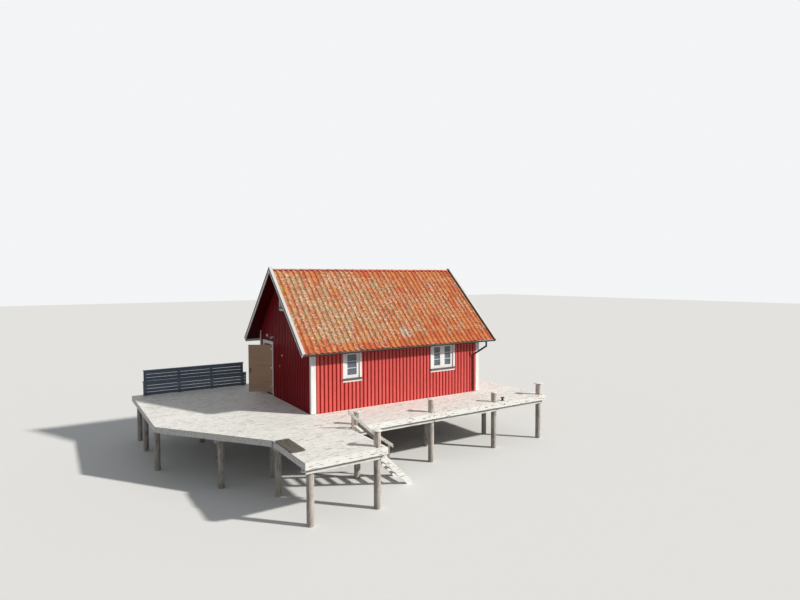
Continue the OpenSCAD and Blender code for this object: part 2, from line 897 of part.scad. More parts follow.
module pile(x, y, top) {
    translate([x, y, -deck_h]) cylinder(d = pile_d, h = deck_h + top, $fn = round_fn);
}

head_h = [415, 455, 345, 455];
landing_head = 455;
// How far each cap runs out over its post
cap_over = [25, 32, 4, 75];
landing_cap_over = 36;

module bollard_piles() {
    color("#8d7f6e") {
        for (i = [0 : 3]) pile(post_x[i], row_front, head_h[i]);
        pile(landing_post_x, row_landing, landing_head);
    }
}

module pile_cap(x, y, z, over) {
    cap_r = pile_d / 2 + over;
    translate([x, y, z]) {
        cylinder(r = cap_r, h = 22, $fn = round_fn);
        translate([0, 0, 22]) cylinder(r1 = cap_r, r2 = cap_r - 30, h = 14, $fn = round_fn);
    }
}

module pile_caps() {
    color("#b9b3a6") {
        for (i = [0 : 3]) pile_cap(post_x[i], row_front, head_h[i], cap_over[i]);
        pile_cap(landing_post_x, row_landing, landing_head, landing_cap_over);
    }
}

inner_pile_d = 200;

module low_pile(x, y) {
    translate([x, y, -deck_h]) cylinder(d = inner_pile_d, h = deck_h + bearer_z0, $fn = round_fn);
}

module deck_piles() {
    color("#75695b") {
        for (x = [1720, 4800, 7880]) low_pile(x, row_wall);
        for (y = [row_mid, row_back]) for (x = [house_l + 340, deck_x1 - 180]) low_pile(x, y);
        for (y = [row_front, row_landing]) translate([landing_x0 + 250, y, -deck_h])
            cylinder(d = pile_d, h = deck_h + joist_z0, $fn = round_fn);
        for (x = [ceil(terrace_edge(row_wall)) + 380, -1600, -250]) low_pile(x, row_wall);
        for (y = [row_mid, row_back, row_fence - 60])
            for (x = [deck_x0 + 250, (deck_x0 - 250) / 2, -250]) low_pile(x, y);
    }
}

module house_piles() {
    mid = face + sill_w / 2;
    spots = [mid, house_l / 3, house_l * 2 / 3, house_l - mid];
    color("#75695b") for (y = [mid, house_w - mid]) for (i = [0 : y == mid ? 2 : 3])
        translate([spots[i], y, -deck_h])
            cylinder(d = inner_pile_d, h = deck_h + sill_z0, $fn = round_fn);
}

module mooring_cleat() {
    translate([post_x[2] + 410, row_front - 60, 0]) color("#20201f") {
        translate([-75, -50, 0]) cube([150, 100, 14]);
        translate([0, 0, 14]) cylinder(r = 42, h = 90, $fn = small_fn);
        translate([-75, 0, 118]) rotate([0, 90, 0]) cylinder(r = 30, h = 150, $fn = small_fn);
    }
}

// Beach stair

stair_y1 = -jetty_d - 180;
stair_y0 = stair_y1 - stair_w;
string_t = 48;
string_d = 190;
rise = deck_h / risers;
going = rise;
tread_t = 36;
stair_run = rise * risers;

// A string: its top edge runs down at 45 degrees from the landing's edge
module stair_string() {
    x0 = landing_x1;
    drop = string_d / cos(45);
    linear_extrude(string_t) polygon([
        [x0, 0], [x0 + deck_h, -deck_h], [x0 + deck_h - drop, -deck_h], [x0, -drop]
    ]);
}

module stair_strings() {
    color("#cfc7b8") for (y = [stair_y0, stair_y1 - string_t])
        translate([0, y + string_t, 0]) rotate([90, 0, 0]) stair_string();
}

module stair_treads() {
    color("#c4baa8") for (i = [1 : risers - 1])
        box(landing_x1 + (i - 1) * going + 20, landing_x1 + i * going + 10,
            stair_y0 + string_t, stair_y1 - string_t, -i * rise - tread_t + 20, -i * rise + 20);
}

rail_y = stair_y1;
rail_d = 130;
rail_t = string_t;
// Top line of the two boards of the handrail, as [x, z]
rail_line = [[220, 640], [1115, -170], [1905, -740]];
newel_x = 1700;

function rail_slope(i) = (rail_line[i + 1][1] - rail_line[i][1]) / (rail_line[i + 1][0] - rail_line[i][0]);
function rail_z(x) = let(i = x < rail_line[1][0] ? 0 : 1) rail_line[i][1] + (x - rail_line[i][0]) * rail_slope(i);

// A board that follows the rail from x0 to x1, its top edge lying d under the rail's
module rail_board(x0, x1, d, depth) {
    translate([0, rail_y, 0]) rotate([90, 0, 0]) linear_extrude(rail_t) polygon([
        [x0, rail_z(x0) - d], [x1, rail_z(x1) - d],
        [x1, rail_z(x1) - d - depth], [x0, rail_z(x0) - d - depth]
    ]);
}

module handrail() {
    kink = rail_line[1][0];
    color("#d8d2c6") {
        rail_board(rail_line[0][0], kink - joint, 0, rail_d);
        rail_board(kink, rail_line[2][0], 0, rail_d);
        // Old board under the upper half
        rail_board(570, kink - joint, rail_d + 2 * fit, 125);
    }
}

// A post on the string, cut off along the rail's underside
module rail_post(x) {
    post_w = 70;
    foot = landing_x1 - x + fit;
    translate([0, rail_y, 0]) rotate([90, 0, 0]) linear_extrude(rail_t) polygon([
        [x, foot], [x + post_w, foot - post_w],
        [x + post_w, rail_z(x + post_w) - rail_d - fit], [x, rail_z(x) - rail_d - fit]
    ]);
}

module handrail_posts() {
    color("#b3aa9a") {
        rail_post(landing_x1 + 5);
        rail_post(newel_x);
    }
}

// Wind fence

fence_x0 = deck_x0 + 450;
fence_x1 = -350;
fence_y = deck_y1 - 160;
fence_post = 90;

module fence_posts() {
    span = fence_x1 - fence_x0 - fence_post;
    color("#5d5d5c") for (i = [0 : 3])
        translate([fence_x0 + i * span / 3, fence_y, 0]) cube([fence_post, fence_post, fence_h - 28]);
}

module fence_boards() {
    color("#6b6f73") {
        box(fence_x0, fence_x1, fence_y - 22, fence_y, fence_low_h + 30, fence_h - 28);
        box(fence_x0 - 50, fence_x1 + 100, fence_y - 160, fence_y - 138, 15, fence_low_h);
        for (i = [0 : 3])
            translate([fence_x0 + i * (fence_x1 - fence_x0 - fence_post) / 3, fence_y - 138 + fit, 0])
                cube([fence_post, 138 - fit, fence_low_h]);
    }
}

module fence_caps() {
    color("#8b8d8c") {
        box(fence_x0 - 20, fence_x1 + 20, fence_y - 45, fence_y + fence_post + 10, fence_h - 28, fence_h);
        box(fence_x0 - 60, fence_x1 + 110, fence_y - 175, fence_y - joint, fence_low_h, fence_low_h + 28);
    }
}

on_origin() {
    floor_boards();
    floor_joists();
    house_sills();
    front_wall();
    back_wall();
    water_gable_wall();
    door_wall_near();
    door_wall_far();
    door_wall_over();
    rafters();
    tie_beams();
    eave_boards();
    roof_boards_front();
    roof_boards_back();
    roof_tiles_front();
    roof_tiles_back();
    ridge_tiles();
    bargeboards();
    barge_caps();
    fascias();
    gutters();
    gutter_hooks();
    downpipes();
    corner_boards();
    window_casings();
    window_sills();
    window_sashes();
    window_glass();
    door_frame();
    door_casing();
    door_hinges();
    door_leaf();
    door_handles();
    gable_lamps();
    lamp_conduit();
    jetty_planks();
    end_planks();
    terrace_planks();
    landing_planks();
    dark_planks();
    deck_joists();
    deck_rims();
    deck_bearers();
    bollard_piles();
    pile_caps();
    deck_piles();
    house_piles();
    mooring_cleat();
    stair_strings();
    stair_treads();
    handrail();
    handrail_posts();
    fence_posts();
    fence_boards();
    fence_caps();
}
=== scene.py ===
"""Looks for a timber boathouse on piles: clay pantiles, red lock boards, white trim and weathered decking."""

import json
import math
import random

import bmesh
import bpy
from bpy.props import FloatProperty, FloatVectorProperty, IntProperty, PointerProperty
from mathutils import Matrix, Vector


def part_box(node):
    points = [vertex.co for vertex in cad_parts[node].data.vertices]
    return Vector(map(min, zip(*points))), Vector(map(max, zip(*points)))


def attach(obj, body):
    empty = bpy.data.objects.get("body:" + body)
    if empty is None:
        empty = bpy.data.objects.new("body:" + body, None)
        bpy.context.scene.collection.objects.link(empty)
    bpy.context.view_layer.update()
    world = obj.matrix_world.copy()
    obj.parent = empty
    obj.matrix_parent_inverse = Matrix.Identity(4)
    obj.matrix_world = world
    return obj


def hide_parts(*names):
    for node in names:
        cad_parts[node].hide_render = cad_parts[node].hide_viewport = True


bl_info = {
    "name": "Timber Boathouse",
    "version": (1, 0, 0),
    "blender": (4, 5, 0),
    "location": "View3D > Sidebar > Boathouse",
    "description": "Dresses the boathouse frame with tiles, boards, decking, fittings and finishes",
    "category": "Object",
}

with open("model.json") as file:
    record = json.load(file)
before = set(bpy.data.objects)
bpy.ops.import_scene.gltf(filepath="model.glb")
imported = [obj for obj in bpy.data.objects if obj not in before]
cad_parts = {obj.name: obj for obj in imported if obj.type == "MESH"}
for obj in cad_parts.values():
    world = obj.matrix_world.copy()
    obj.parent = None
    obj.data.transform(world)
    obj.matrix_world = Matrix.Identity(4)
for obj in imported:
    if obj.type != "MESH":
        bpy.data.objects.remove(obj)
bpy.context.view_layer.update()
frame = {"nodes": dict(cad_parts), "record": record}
NODES = frame["nodes"]
HOUSE = "house"
DOOR = "door"

# The house's own corner: X along the front wall, Y towards the back wall, Z up from the deck
CORNER_LO, CORNER_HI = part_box("corner_boards")
DECK_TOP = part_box("jetty_planks")[1].z
ORIGIN = Vector((CORNER_LO.x, CORNER_LO.y, DECK_TOP))
LENGTH = CORNER_HI.x - CORNER_LO.x
WIDTH = CORNER_HI.y - CORNER_LO.y
AT_HOUSE = Matrix.Translation(ORIGIN)
# Face of the walls, measured inwards from the corner boards
WALL_FACE = 0.028

# Top of the roof's cap plane over the deck
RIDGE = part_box("barge_caps")[1].z - DECK_TOP
PITCH = math.radians(43)
# How far the tiles run out past the long walls
EAVE = 0.49
# Length of the slope from the ridge to the eave, along the cap plane
SLOPE = (WIDTH / 2 + EAVE) / math.cos(PITCH)
# Depth of the roof boarding below the cap plane
TILE_BACK = 0.095
# The tiles stop this far from the ridge line, short of the ridge tiles' edges
RIDGE_OPEN = 0.128

QUARTER = math.pi / 2


def move(x, y, z):
    return Matrix.Translation((x, y, z))


def turn(angle, axis):
    return Matrix.Rotation(angle, 4, axis)


def local_box(node):
    """The box of a CAD node, measured from the house's own corner."""
    lo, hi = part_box(node)
    return lo - ORIGIN, hi - ORIGIN


# Settings


def length(name, default, description):
    return FloatProperty(name=name, description=description, default=default, unit="LENGTH")


def colour(name, default, description):
    return FloatVectorProperty(name=name, description=description, subtype="COLOR", default=default)


class BoathouseSizes(bpy.types.PropertyGroup):
    tile_columns: IntProperty(name="Tile columns", description="Pantiles across one roof slope", default=39)
    tile_rows: IntProperty(name="Tile rows", description="Pantiles from eave to ridge", default=13)
    tile_length: length("Tile length", 0.4, "Length of one pantile")
    tile_roll: length("Tile roll", 0.044, "Height of a pantile's roll")
    ridge_tile_length: length("Ridge tile length", 0.39, "Length of one ridge tile")
    board_pitch: length("Wall board pitch", 0.1635, "Spacing of the raised wall boards")
    board_width: length("Wall board width", 0.102, "Width of a raised wall board")
    board_rise: length("Wall board rise", 0.024, "Thickness of a raised wall board")
    plank_width: length("Plank width", 0.12, "Width of a deck plank")
    plank_gap: length("Plank gap", 0.009, "Gap between deck planks")


class BoathouseColours(bpy.types.PropertyGroup):
    red: colour("Red", (0.66, 0.112, 0.1), "Wall boards")
    # The recess colour is painted shade: the wall between the raised boards has the boards' red paint,
    # darkened for the shadow the boards cast
    recess: colour("Recess", (0.32, 0.014, 0.013), "Wall between the raised boards")
    # The door gable's red is painted shade: that gable has the same red paint as the other walls, darkened
    # for the shade it stands in
    gable: colour("Gable", (0.23, 0.014, 0.02), "Darker boards of the door gable")
    white: colour("White", (0.87, 0.87, 0.84), "Trim paint")
    clay: colour("Clay", (0.7, 0.21, 0.082), "Clean roof tiles")
    lichen: colour("Lichen", (0.46, 0.35, 0.175), "Tan growth on the tiles")
    deck: colour("Deck", (0.95, 0.945, 0.9), "Weathered planks")
    pile: colour("Pile", (0.68, 0.62, 0.55), "Weathered piles")
    door: colour("Door", (0.46, 0.3, 0.2), "Door paint")


# Materials


def feed(tree, socket, value):
    if isinstance(value, bpy.types.NodeSocket):
        tree.links.new(value, socket)
    else:
        socket.default_value = value


def add_node(tree, kind, inputs=None, **settings):
    """Adds a shader node with its settings, and links or fills its inputs."""
    node = tree.nodes.new(f"ShaderNode{kind}")
    for key, value in settings.items():
        setattr(node, key, value)
    for key, value in (inputs or {}).items():
        feed(tree, node.inputs[key], value)
    return node


class Finish:
    """A material under construction: each method adds nodes and returns their output."""

    def __init__(self, name, roughness=0.6, metallic=0.0, specular=0.5):
        self.material = bpy.data.materials.new(name)
        self.material.use_nodes = True
        self.tree = self.material.node_tree
        self.tree.nodes.clear()
        self.shader = self.add("BsdfPrincipled", {
            "Roughness": roughness, "Metallic": metallic, "Specular IOR Level": specular,
        })
        self.add("OutputMaterial", {"Surface": self.shader.outputs["BSDF"]})
        self.place = self.add("TexCoord").outputs["Object"]

    def add(self, kind, inputs=None, **settings):
        return add_node(self.tree, kind, inputs, **settings)

    def math(self, operation, a, b):
        return self.add("Math", {0: a, 1: b}, operation=operation).outputs[0]

    def times(self, a, b):
        return self.math("MULTIPLY", a, b)

    def plus(self, a, b):
        return self.math("ADD", a, b)

    def minus(self, a, b):
        return self.math("SUBTRACT", a, b)

    def vector(self, operation, a, b, output="Vector"):
        return self.add("VectorMath", {0: a, 1: b}, operation=operation).outputs[output]

    def between(self, value, low, high):
        """0 at low and 1 at high, straight in between."""
        return self.add("MapRange", {"Value": value, "From Min": low, "From Max": high}).outputs["Result"]

    def axis(self, name):
        return self.add("SeparateXYZ", {"Vector": self.place}).outputs[name]

    def stretched(self, scale, shift=None):
        """Object coordinates, stretched and moved aside by a board's own shift."""
        vector = self.place if shift is None else self.vector("ADD", self.place, shift)
        return self.add("Mapping", {"Vector": vector, "Scale": scale}).outputs[0]

    def warped(self, amount, scale):
        """Object coordinates, pushed about by a noise."""
        push = self.add("TexNoise", {"Vector": self.place, "Scale": scale, "Detail": 3.0}).outputs["Color"]
        return self.vector("ADD", self.place, self.vector("MULTIPLY", push, (amount,) * 3))

    def noise(self, vector, scale, detail=3.0, roughness=0.55, distortion=0.0):
        return self.add("TexNoise", {
            "Vector": vector, "Scale": scale, "Detail": detail,
            "Roughness": roughness, "Distortion": distortion,
        }).outputs["Fac"]

    def cells(self, vector, scale):
        """A random value in each cell of an uneven net."""
        node = self.add("TexVoronoi", {"Vector": vector, "Scale": scale})
        return self.add("SeparateColor", {"Color": node.outputs["Color"]}).outputs["Red"]

    def tone(self):
        """The value that each board or tile carries on its own vertices."""
        return self.add("Attribute", attribute_name="tone", attribute_type="GEOMETRY").outputs["Fac"]

    def own_shift(self, tone):
        """A vector that moves the pattern to another place on each board."""
        shift = {key: self.times(tone, far) for key, far in (("X", 31.0), ("Y", 52.7), ("Z", 18.6))}
        return self.add("CombineXYZ", shift).outputs[0]

    def ramp(self, fac, stops, interpolation="LINEAR"):
        node = self.add("ValToRGB", {"Fac": fac})
        ramp = node.color_ramp
        ramp.interpolation = interpolation
        while len(ramp.elements) < len(stops):
            ramp.elements.new(0.5)
        for element, (at, value) in zip(ramp.elements, stops):
            element.position = at
            element.color = (*value, 1.0) if hasattr(value, "__len__") else (value, value, value, 1.0)
        return node.outputs["Color"]

    def mix(self, fac, a, b, blend="MIX"):
        node = self.add("Mix", data_type="RGBA", blend_type=blend)
        for key, value in (("Factor", fac), ("A", a), ("B", b)):
            socket = next(s for s in node.inputs if s.name == key and s.enabled)
            feed(self.tree, socket, (*value, 1.0) if isinstance(value, tuple) else value)
        return next(s for s in node.outputs if s.enabled)

    def show(self, name, socket):
        self.tree.links.new(socket, self.shader.inputs[name])

    def colour(self, socket):
        self.show("Base Color", socket)

    def roughness(self, socket):
        self.show("Roughness", socket)

    def bump(self, height, strength=0.4, distance=0.004):
        node = self.add("Bump", {"Height": height, "Strength": strength, "Distance": distance})
        self.show("Normal", node.outputs["Normal"])


def shade(value, factor):
    return tuple(min(1.0, c * factor) for c in value)


def lengthwise(axis, along, across):
    """Scales for a pattern that is drawn out along one axis."""
    return tuple(along if name == axis else across for name in "XYZ")


def paint(name, tint, grain_axis="Z", dirt=(0.12, 0.1, 0.08), wear=0.25, bare_inside=False, specular=0.3):
    """Paint on sawn boards: streaks along the grain, a little dirt and slight fading."""
    f = Finish(name, specular=specular)
    grain = lengthwise(grain_axis, 0.9, 14.0)
    shift = f.own_shift(f.tone())
    streak = f.noise(f.stretched(grain, shift), 3.0, 5.0, 0.6)
    cloud = f.noise(f.stretched((1.0, 1.0, 1.0), shift), 0.9)
    base = f.ramp(streak, [(0.3, shade(tint, 0.8)), (0.55, tint), (0.75, shade(tint, 1.16))])
    faded = f.mix(f.times(f.between(cloud, 0.35, 0.75), 0.45), base, shade(tint, 1.35))
    spots = f.between(f.noise(f.place, 9.0, 6.0, 0.65), 0.62, 0.8)
    surface = f.mix(f.times(spots, wear), faded, dirt)
    if bare_inside:
        surface = f.mix(inside_house(f), surface, bare_wood(f))
    f.colour(surface)
    f.bump(f.noise(f.stretched(grain, shift), 9.0, 6.0, 0.7), 0.35, 0.003)
    f.roughness(f.between(streak, -0.6, 2.2))
    return f.material


def eave_paint_front_shade(name, back, front):
    """The eave boards: pale along the back wall, and dark red-brown along the front wall as painted shade
    under the gutter.
    """
    f = Finish(name, specular=0.2)
    behind = f.math("GREATER_THAN", f.axis("Y"), ORIGIN.y + WIDTH / 2)
    streak = f.noise(f.stretched(lengthwise("X", 0.9, 14.0)), 3.0, 5.0, 0.6)
    clean, worn = f.mix(behind, front, back), f.mix(behind, shade(front, 0.6), shade(back, 0.8))
    f.colour(f.mix(f.between(streak, 0.7, 0.3), clean, worn))
    f.bump(streak, 0.35, 0.003)
    return f.material


def inside_house(f):
    """1 within the outer skin of the walls, where nothing is painted."""
    skin = 0.14
    product = 1.0
    for name, low, size in (("X", ORIGIN.x, LENGTH), ("Y", ORIGIN.y, WIDTH)):
        product = f.times(product, f.math("GREATER_THAN", f.axis(name), low + skin))
        product = f.times(product, f.math("LESS_THAN", f.axis(name), low + size - skin))
    return product


def bare_wood(f):
    grain = f.noise(f.stretched(lengthwise("X", 1.2, 9.0)), 3.0, 5.0, 0.6, 0.4)
    light = (0.55, 0.4, 0.25)
    return f.ramp(grain, [(0.3, (0.36, 0.24, 0.13)), (0.6, light), (0.8, shade(light, 1.15))])


def timber(name, light, dark, grain_axis="X", cracks=0.5, tone_spread=0.35, stain=0.3, bleach=0.0):
    """Weathered or sawn wood: long grain, fine cracks, and boards that differ from each other."""
    f = Finish(name, specular=0.2)
    tone = f.tone()
    shift = f.own_shift(tone)
    drawn = f.stretched(lengthwise(grain_axis, 0.55, 9.0), shift)
    grain = f.noise(drawn, 4.0, 6.0, 0.62, 0.5)
    fine = f.noise(drawn, 22.0, 4.0, 0.7)
    base = f.ramp(grain, [(0.28, dark), (0.5 - bleach, shade(light, 0.9)), (0.72 - bleach, light)])
    board = f.ramp(tone, [(0.0, 1.0), (0.35, 1.0 - tone_spread), (0.7, 1.0), (1.0, 1.0 - tone_spread / 2)])
    tinted = f.mix(1.0, base, board, "MULTIPLY")
    split = f.minus(1.0, f.between(fine, 0.27, 0.38))
    lined = f.mix(f.times(split, cracks), tinted, shade(dark, 0.45))
    short = f.stretched(lengthwise(grain_axis, 1.0, 10.0), shift)
    marks = f.between(f.noise(short, 3.2, 4.0, 0.65), 0.575, 0.625)
    marked = f.mix(f.times(marks, cracks), lined, (dark[0] * 0.42, dark[1] * 0.34, dark[2] * 0.28))
    blot = f.between(f.noise(f.place, 1.7, 5.0, 0.6), 0.5, 0.78)
    f.colour(f.mix(f.times(blot, stain), marked, shade(dark, 0.8)))
    f.bump(f.plus(fine, f.times(grain, 1.5)), 0.5)
    f.roughness(f.between(grain, -0.9, 1.6))
    return f.material


def blob(f, centre, radius):
    """1 at a place on the part and 0 beyond a radius, with a ragged edge."""
    away = f.vector("DISTANCE", f.place, ORIGIN + Vector(centre), "Value")
    ragged = f.plus(away, f.times(f.noise(f.place, 7.0, 4.0), radius))
    return f.between(ragged, radius * 1.55, radius * 1.1)


def tile_clay(name, clay, lichen, growth=1.0):
    """Fired clay under a speckle of lichens, which lies thickest on the left-hand part of the slope."""
    f = Finish(name, roughness=0.85, specular=0.15)
    tone, x, z = f.tone(), f.axis("X"), f.axis("Z")
    red, green, blue = clay
    fired = f.ramp(tone, [
        (0.0, shade(clay, 0.8)), (0.18, (red * 0.95, green * 0.6, blue * 0.8)), (0.45, clay),
        (0.7, (red * 1.12, green * 1.5, blue * 1.6)), (1.0, (red * 1.1, green * 1.2, blue)),
    ])
    mottle = f.noise(f.place, 17.0, 5.0, 0.65)
    base = f.mix(f.between(mottle, 0.62, 0.38), fired, shade(clay, 0.55))
    # Less growth on the right-hand part, the lowest and highest rows and the first columns
    across = f.between(x, ORIGIN.x + LENGTH * 0.4, ORIGIN.x + LENGTH * 0.72)
    low = f.between(z, DECK_TOP + 2.7, DECK_TOP + 2.4)
    high = f.between(z, DECK_TOP + 4.85, DECK_TOP + 5.15)
    left = f.between(x, ORIGIN.x + 0.5, ORIGIN.x - 0.1)
    first = f.times(left, f.between(z, DECK_TOP + 3.6, DECK_TOP + 2.8))
    own = f.times(f.minus(f.math("FRACT", f.times(tone, 7.31), 0.0), 0.5), 0.5)
    patch = f.noise(f.stretched((1.6, 0.7, 0.7)), 0.9, 4.0, 0.6)
    reach = f.plus(f.between(patch, 0.2, 0.62), own)
    for bare, weight in ((across, 0.52), (low, 0.55), (high, 0.4), (first, 0.5)):
        reach = f.minus(reach, f.times(bare, weight))
    # Crusts of several lichens, each cell in a colour of its own
    crusts = f.cells(f.warped(0.08, 11.0), 17.0)
    kinds = f.ramp(f.cells(f.warped(0.05, 14.0), 21.0), [
        (0.0, (0.7, 0.54, 0.37)), (0.15, lichen), (0.3, (0.4, 0.33, 0.21)), (0.41, (0.3, 0.22, 0.09)),
        (0.5, (0.2, 0.105, 0.05)), (0.59, (0.78, 0.64, 0.48)), (0.73, (0.55, 0.5, 0.42)),
        (0.81, (0.6, 0.19, 0.11)),
    ], "CONSTANT")
    grown = f.between(f.minus(crusts, f.minus(0.98, f.times(reach, 0.86 * growth))), -0.02, 0.03)
    coat = f.mix(f.times(grown, 0.8), base, kinds)
    wash = f.times(f.between(f.noise(f.place, 2.6, 4.0, 0.6), 0.44, 0.62), f.between(reach, 0.2, 0.8))
    coat = f.mix(f.times(wash, 0.45), coat, (0.34, 0.26, 0.13))
    pale = f.between(f.plus(f.noise(f.place, 42.0, 4.0, 0.7), f.times(reach, 0.1)), 0.69, 0.76)
    coat = f.mix(f.times(pale, 0.85), coat, (0.74, 0.66, 0.5))
    # Two yellow patches, one grey one and dark specks
    yellow = f.math("MAXIMUM", blob(f, (0.33, 0.1, 2.82), 0.13), blob(f, (-0.3, 1.9, 4.5), 0.2))
    flecks = f.between(f.noise(f.place, 24.0, 4.0, 0.7), 0.45, 0.6)
    coat = f.mix(f.times(yellow, flecks), coat, (0.46, 0.42, 0.1))
    grey = f.times(blob(f, (4.12, 0.02, 2.8), 0.32), f.between(crusts, 0.3, 0.4))
    coat = f.mix(grey, coat, (0.5, 0.48, 0.41))
    dark = f.between(f.noise(f.place, 27.0, 3.0, 0.6), 0.41, 0.32)
    f.colour(f.mix(f.times(dark, 0.7), coat, (0.09, 0.042, 0.016)))
    f.bump(f.plus(mottle, f.times(f.noise(f.place, 90.0), 0.5)), 0.5)
    return f.material


def metal(name, tint, roughness, metallic, spots=0.2):
    """Coated or bare sheet metal with faint spots and uneven gloss."""
    f = Finish(name, metallic=metallic)
    cloud = f.noise(f.place, 6.0, 5.0, 0.6)
    fine = f.noise(f.place, 60.0, 4.0, 0.6)
    base = f.ramp(cloud, [(0.3, shade(tint, 0.85)), (0.6, tint), (0.8, shade(tint, 1.1))])
    f.colour(f.mix(f.times(f.between(fine, 0.6, 0.75), spots), base, shade(tint, 0.5)))
    f.roughness(f.between(cloud, 0.5 - 1.2 * roughness, 0.5 + 2.0 * (1.0 - roughness)))
    f.bump(fine, 0.1, 0.001)
    return f.material


def plastic(name, tint, roughness):
    f = Finish(name, roughness=roughness)
    f.colour(f.ramp(f.noise(f.place, 20.0), [(0.3, shade(tint, 0.9)), (0.7, tint)]))
    f.bump(f.noise(f.place, 150.0, 2.0), 0.08, 0.0006)
    return f.material


def pane_glass(name):
    """Window glass, a little wavy, that shows some of the dark room behind it; its blue-grey colour, lighter
    and darker in soft patches, is a painted reflection of the sky.
    """
    f = Finish(name, roughness=0.04)
    f.shader.inputs["Transmission Weight"].default_value = 0.55
    f.shader.inputs["IOR"].default_value = 1.5
    f.colour(f.ramp(f.noise(f.place, 2.2), [(0.3, (0.19, 0.25, 0.33)), (0.7, (0.3, 0.37, 0.45))]))
    f.bump(f.noise(f.place, 5.0, 2.0), 0.04, 0.002)
    return f.material


MATERIALS = {}


class BOATHOUSE_OT_materials(bpy.types.Operator):
    """Mixes the paints, timbers, clays and metals"""

    bl_idname = "boathouse.materials"
    bl_label = "Mix Materials"

    def execute(self, context):
        group = context.scene.boathouse_colours
        red, recess, gable, white, clay, lichen, deck, pile, door = (
            tuple(getattr(group, name)) for name in group.__annotations__
        )
        grime = (0.33, 0.3, 0.25)
        weathered = shade(deck, 0.48)
        MATERIALS.update({
            "red_boards": paint("Red wall paint", red, wear=0.15, specular=0.2),
            # The recessed wall is darker than the boards as painted shade, for the shadow the boards cast
            "red_walls": paint("Red wall paint, recessed", recess, wear=0.1, bare_inside=True, specular=0.1),
            # The door gable's boards and recessed wall are darker reds as painted shade, for the shade that
            # gable stands in
            "red_gable": paint("Dark red gable paint", gable, wear=0.03, specular=0.05),
            "gable_wall_painted_shade": paint(
                "Dark red gable paint, recessed", shade(gable, 0.6),
                wear=0.03, bare_inside=True, specular=0.05,
            ),
            # The roof's underside is near-black red as painted shade, for the deep shade under the overhang
            "roof_under_painted_shade": paint(
                "Dark red roof boarding", shade(gable, 0.33), "X",
                wear=0.05, bare_inside=True, specular=0.05,
            ),
            # The ridge boards' near-black red is painted shade, for the shadow under the ridge tiles
            "ridge_gap_painted_shade": paint("Dark red ridge boards", (0.14, 0.012, 0.01), "X", wear=0.1, specular=0.1),
            "white_trim": paint("White trim paint", white, dirt=grime, wear=0.3),
            "white_along": paint("White trim paint, level boards", white, "X", dirt=grime, wear=0.3),
            "cap_trim": paint("Weathered cap paint", shade(white, 0.72), "Y", dirt=grime, wear=0.5),
            # The sills are near-black as painted shade, for the shadow line under the sashes
            "dark_trim": paint("Dark sill paint", (0.1, 0.09, 0.085), "X", wear=0.2),
            "door_paint": paint("Door paint", door, "Y", dirt=(0.3, 0.24, 0.17), wear=0.2),
            # The front eave boards are dark red-brown as painted shade under the gutter; the back ones keep
            # the white
            "eave_paint_front_shade": eave_paint_front_shade("Eave board paint", white, (0.09, 0.035, 0.03)),
            "deck_wood": timber("Weathered decking", deck, weathered, "X", 0.9, 0.08, 0.05, 0.22),
            "deck_cross": timber("Weathered decking, crosswise", deck, weathered, "Y", 0.9, 0.08, 0.05, 0.22),
            "beam_wood": timber(
                "Weathered beams", shade(deck, 0.9), shade(deck, 0.5), "X", 0.5, 0.15, 0.2, 0.08
            ),
            "rail_wood": timber("Weathered rails", shade(deck, 0.68), shade(deck, 0.3), "X", 0.6, 0.2),
            "post_wood": timber("Weathered rail posts", (0.4, 0.33, 0.27), (0.2, 0.16, 0.13), "Z", 0.6, 0.2),
            "pile_wood": timber("Weathered piles", pile, shade(pile, 0.3), "Z", 0.7, 0.4, 0.7),
            # The dark planks on the deck are old wood; the board under the handrail takes the same near-black
            # as painted shade
            "old_wood": timber("Old dark boards", (0.17, 0.15, 0.13), (0.07, 0.06, 0.05), "Y", 0.8),
            "frame_wood": timber("Planed timber", (0.52, 0.38, 0.24), (0.36, 0.24, 0.14), cracks=0.2),
            "floor_wood": timber("Floorboards", (0.46, 0.3, 0.16), (0.3, 0.18, 0.09), cracks=0.25),
            # The fence's dark blue-grey is painted shade: its boards are the deck's pale weathered wood,
            # coloured as they look in the house's blue shade
            "fence_wood": timber("Blue-grey fence stain", (0.2, 0.25, 0.33), (0.1, 0.13, 0.18)),
            "roof_clay": tile_clay("Clay pantiles with lichen", clay, lichen),
            "ridge_clay": tile_clay("Clay ridge tiles", (0.74, 0.21, 0.13), lichen, growth=0.15),
            "gutter_metal": metal("Dark mottled gutter", (0.085, 0.062, 0.052), 0.6, 0.1, spots=0.5),
            "pipe_metal": metal("Dark downpipe", (0.035, 0.045, 0.055), 0.4, 0.3),
            # The verge strips' near-black is painted shade along the caps
            "verge_painted_shade": metal("Dark verge strip", (0.075, 0.06, 0.055), 0.6, 0.2),
            "hinge_steel": metal("Zinc-plated steel", (0.55, 0.55, 0.54), 0.35, 1.0),
            "nail_steel": metal("Dark nail heads", (0.09, 0.075, 0.065), 0.6, 0.8),
            "handle_metal": metal("Dark bronze lever", (0.05, 0.04, 0.035), 0.35, 0.8),
            "cleat_iron": metal("Black cast iron", (0.02, 0.02, 0.022), 0.55, 0.4),
            "lamp_shell": plastic("White lamp glass", (0.75, 0.75, 0.72), 0.2),
            "conduit_plastic": plastic("Grey-red conduit", (0.3, 0.2, 0.19), 0.5),
            "window_glass": pane_glass("Window glass"),
        })
        return {"FINISHED"}


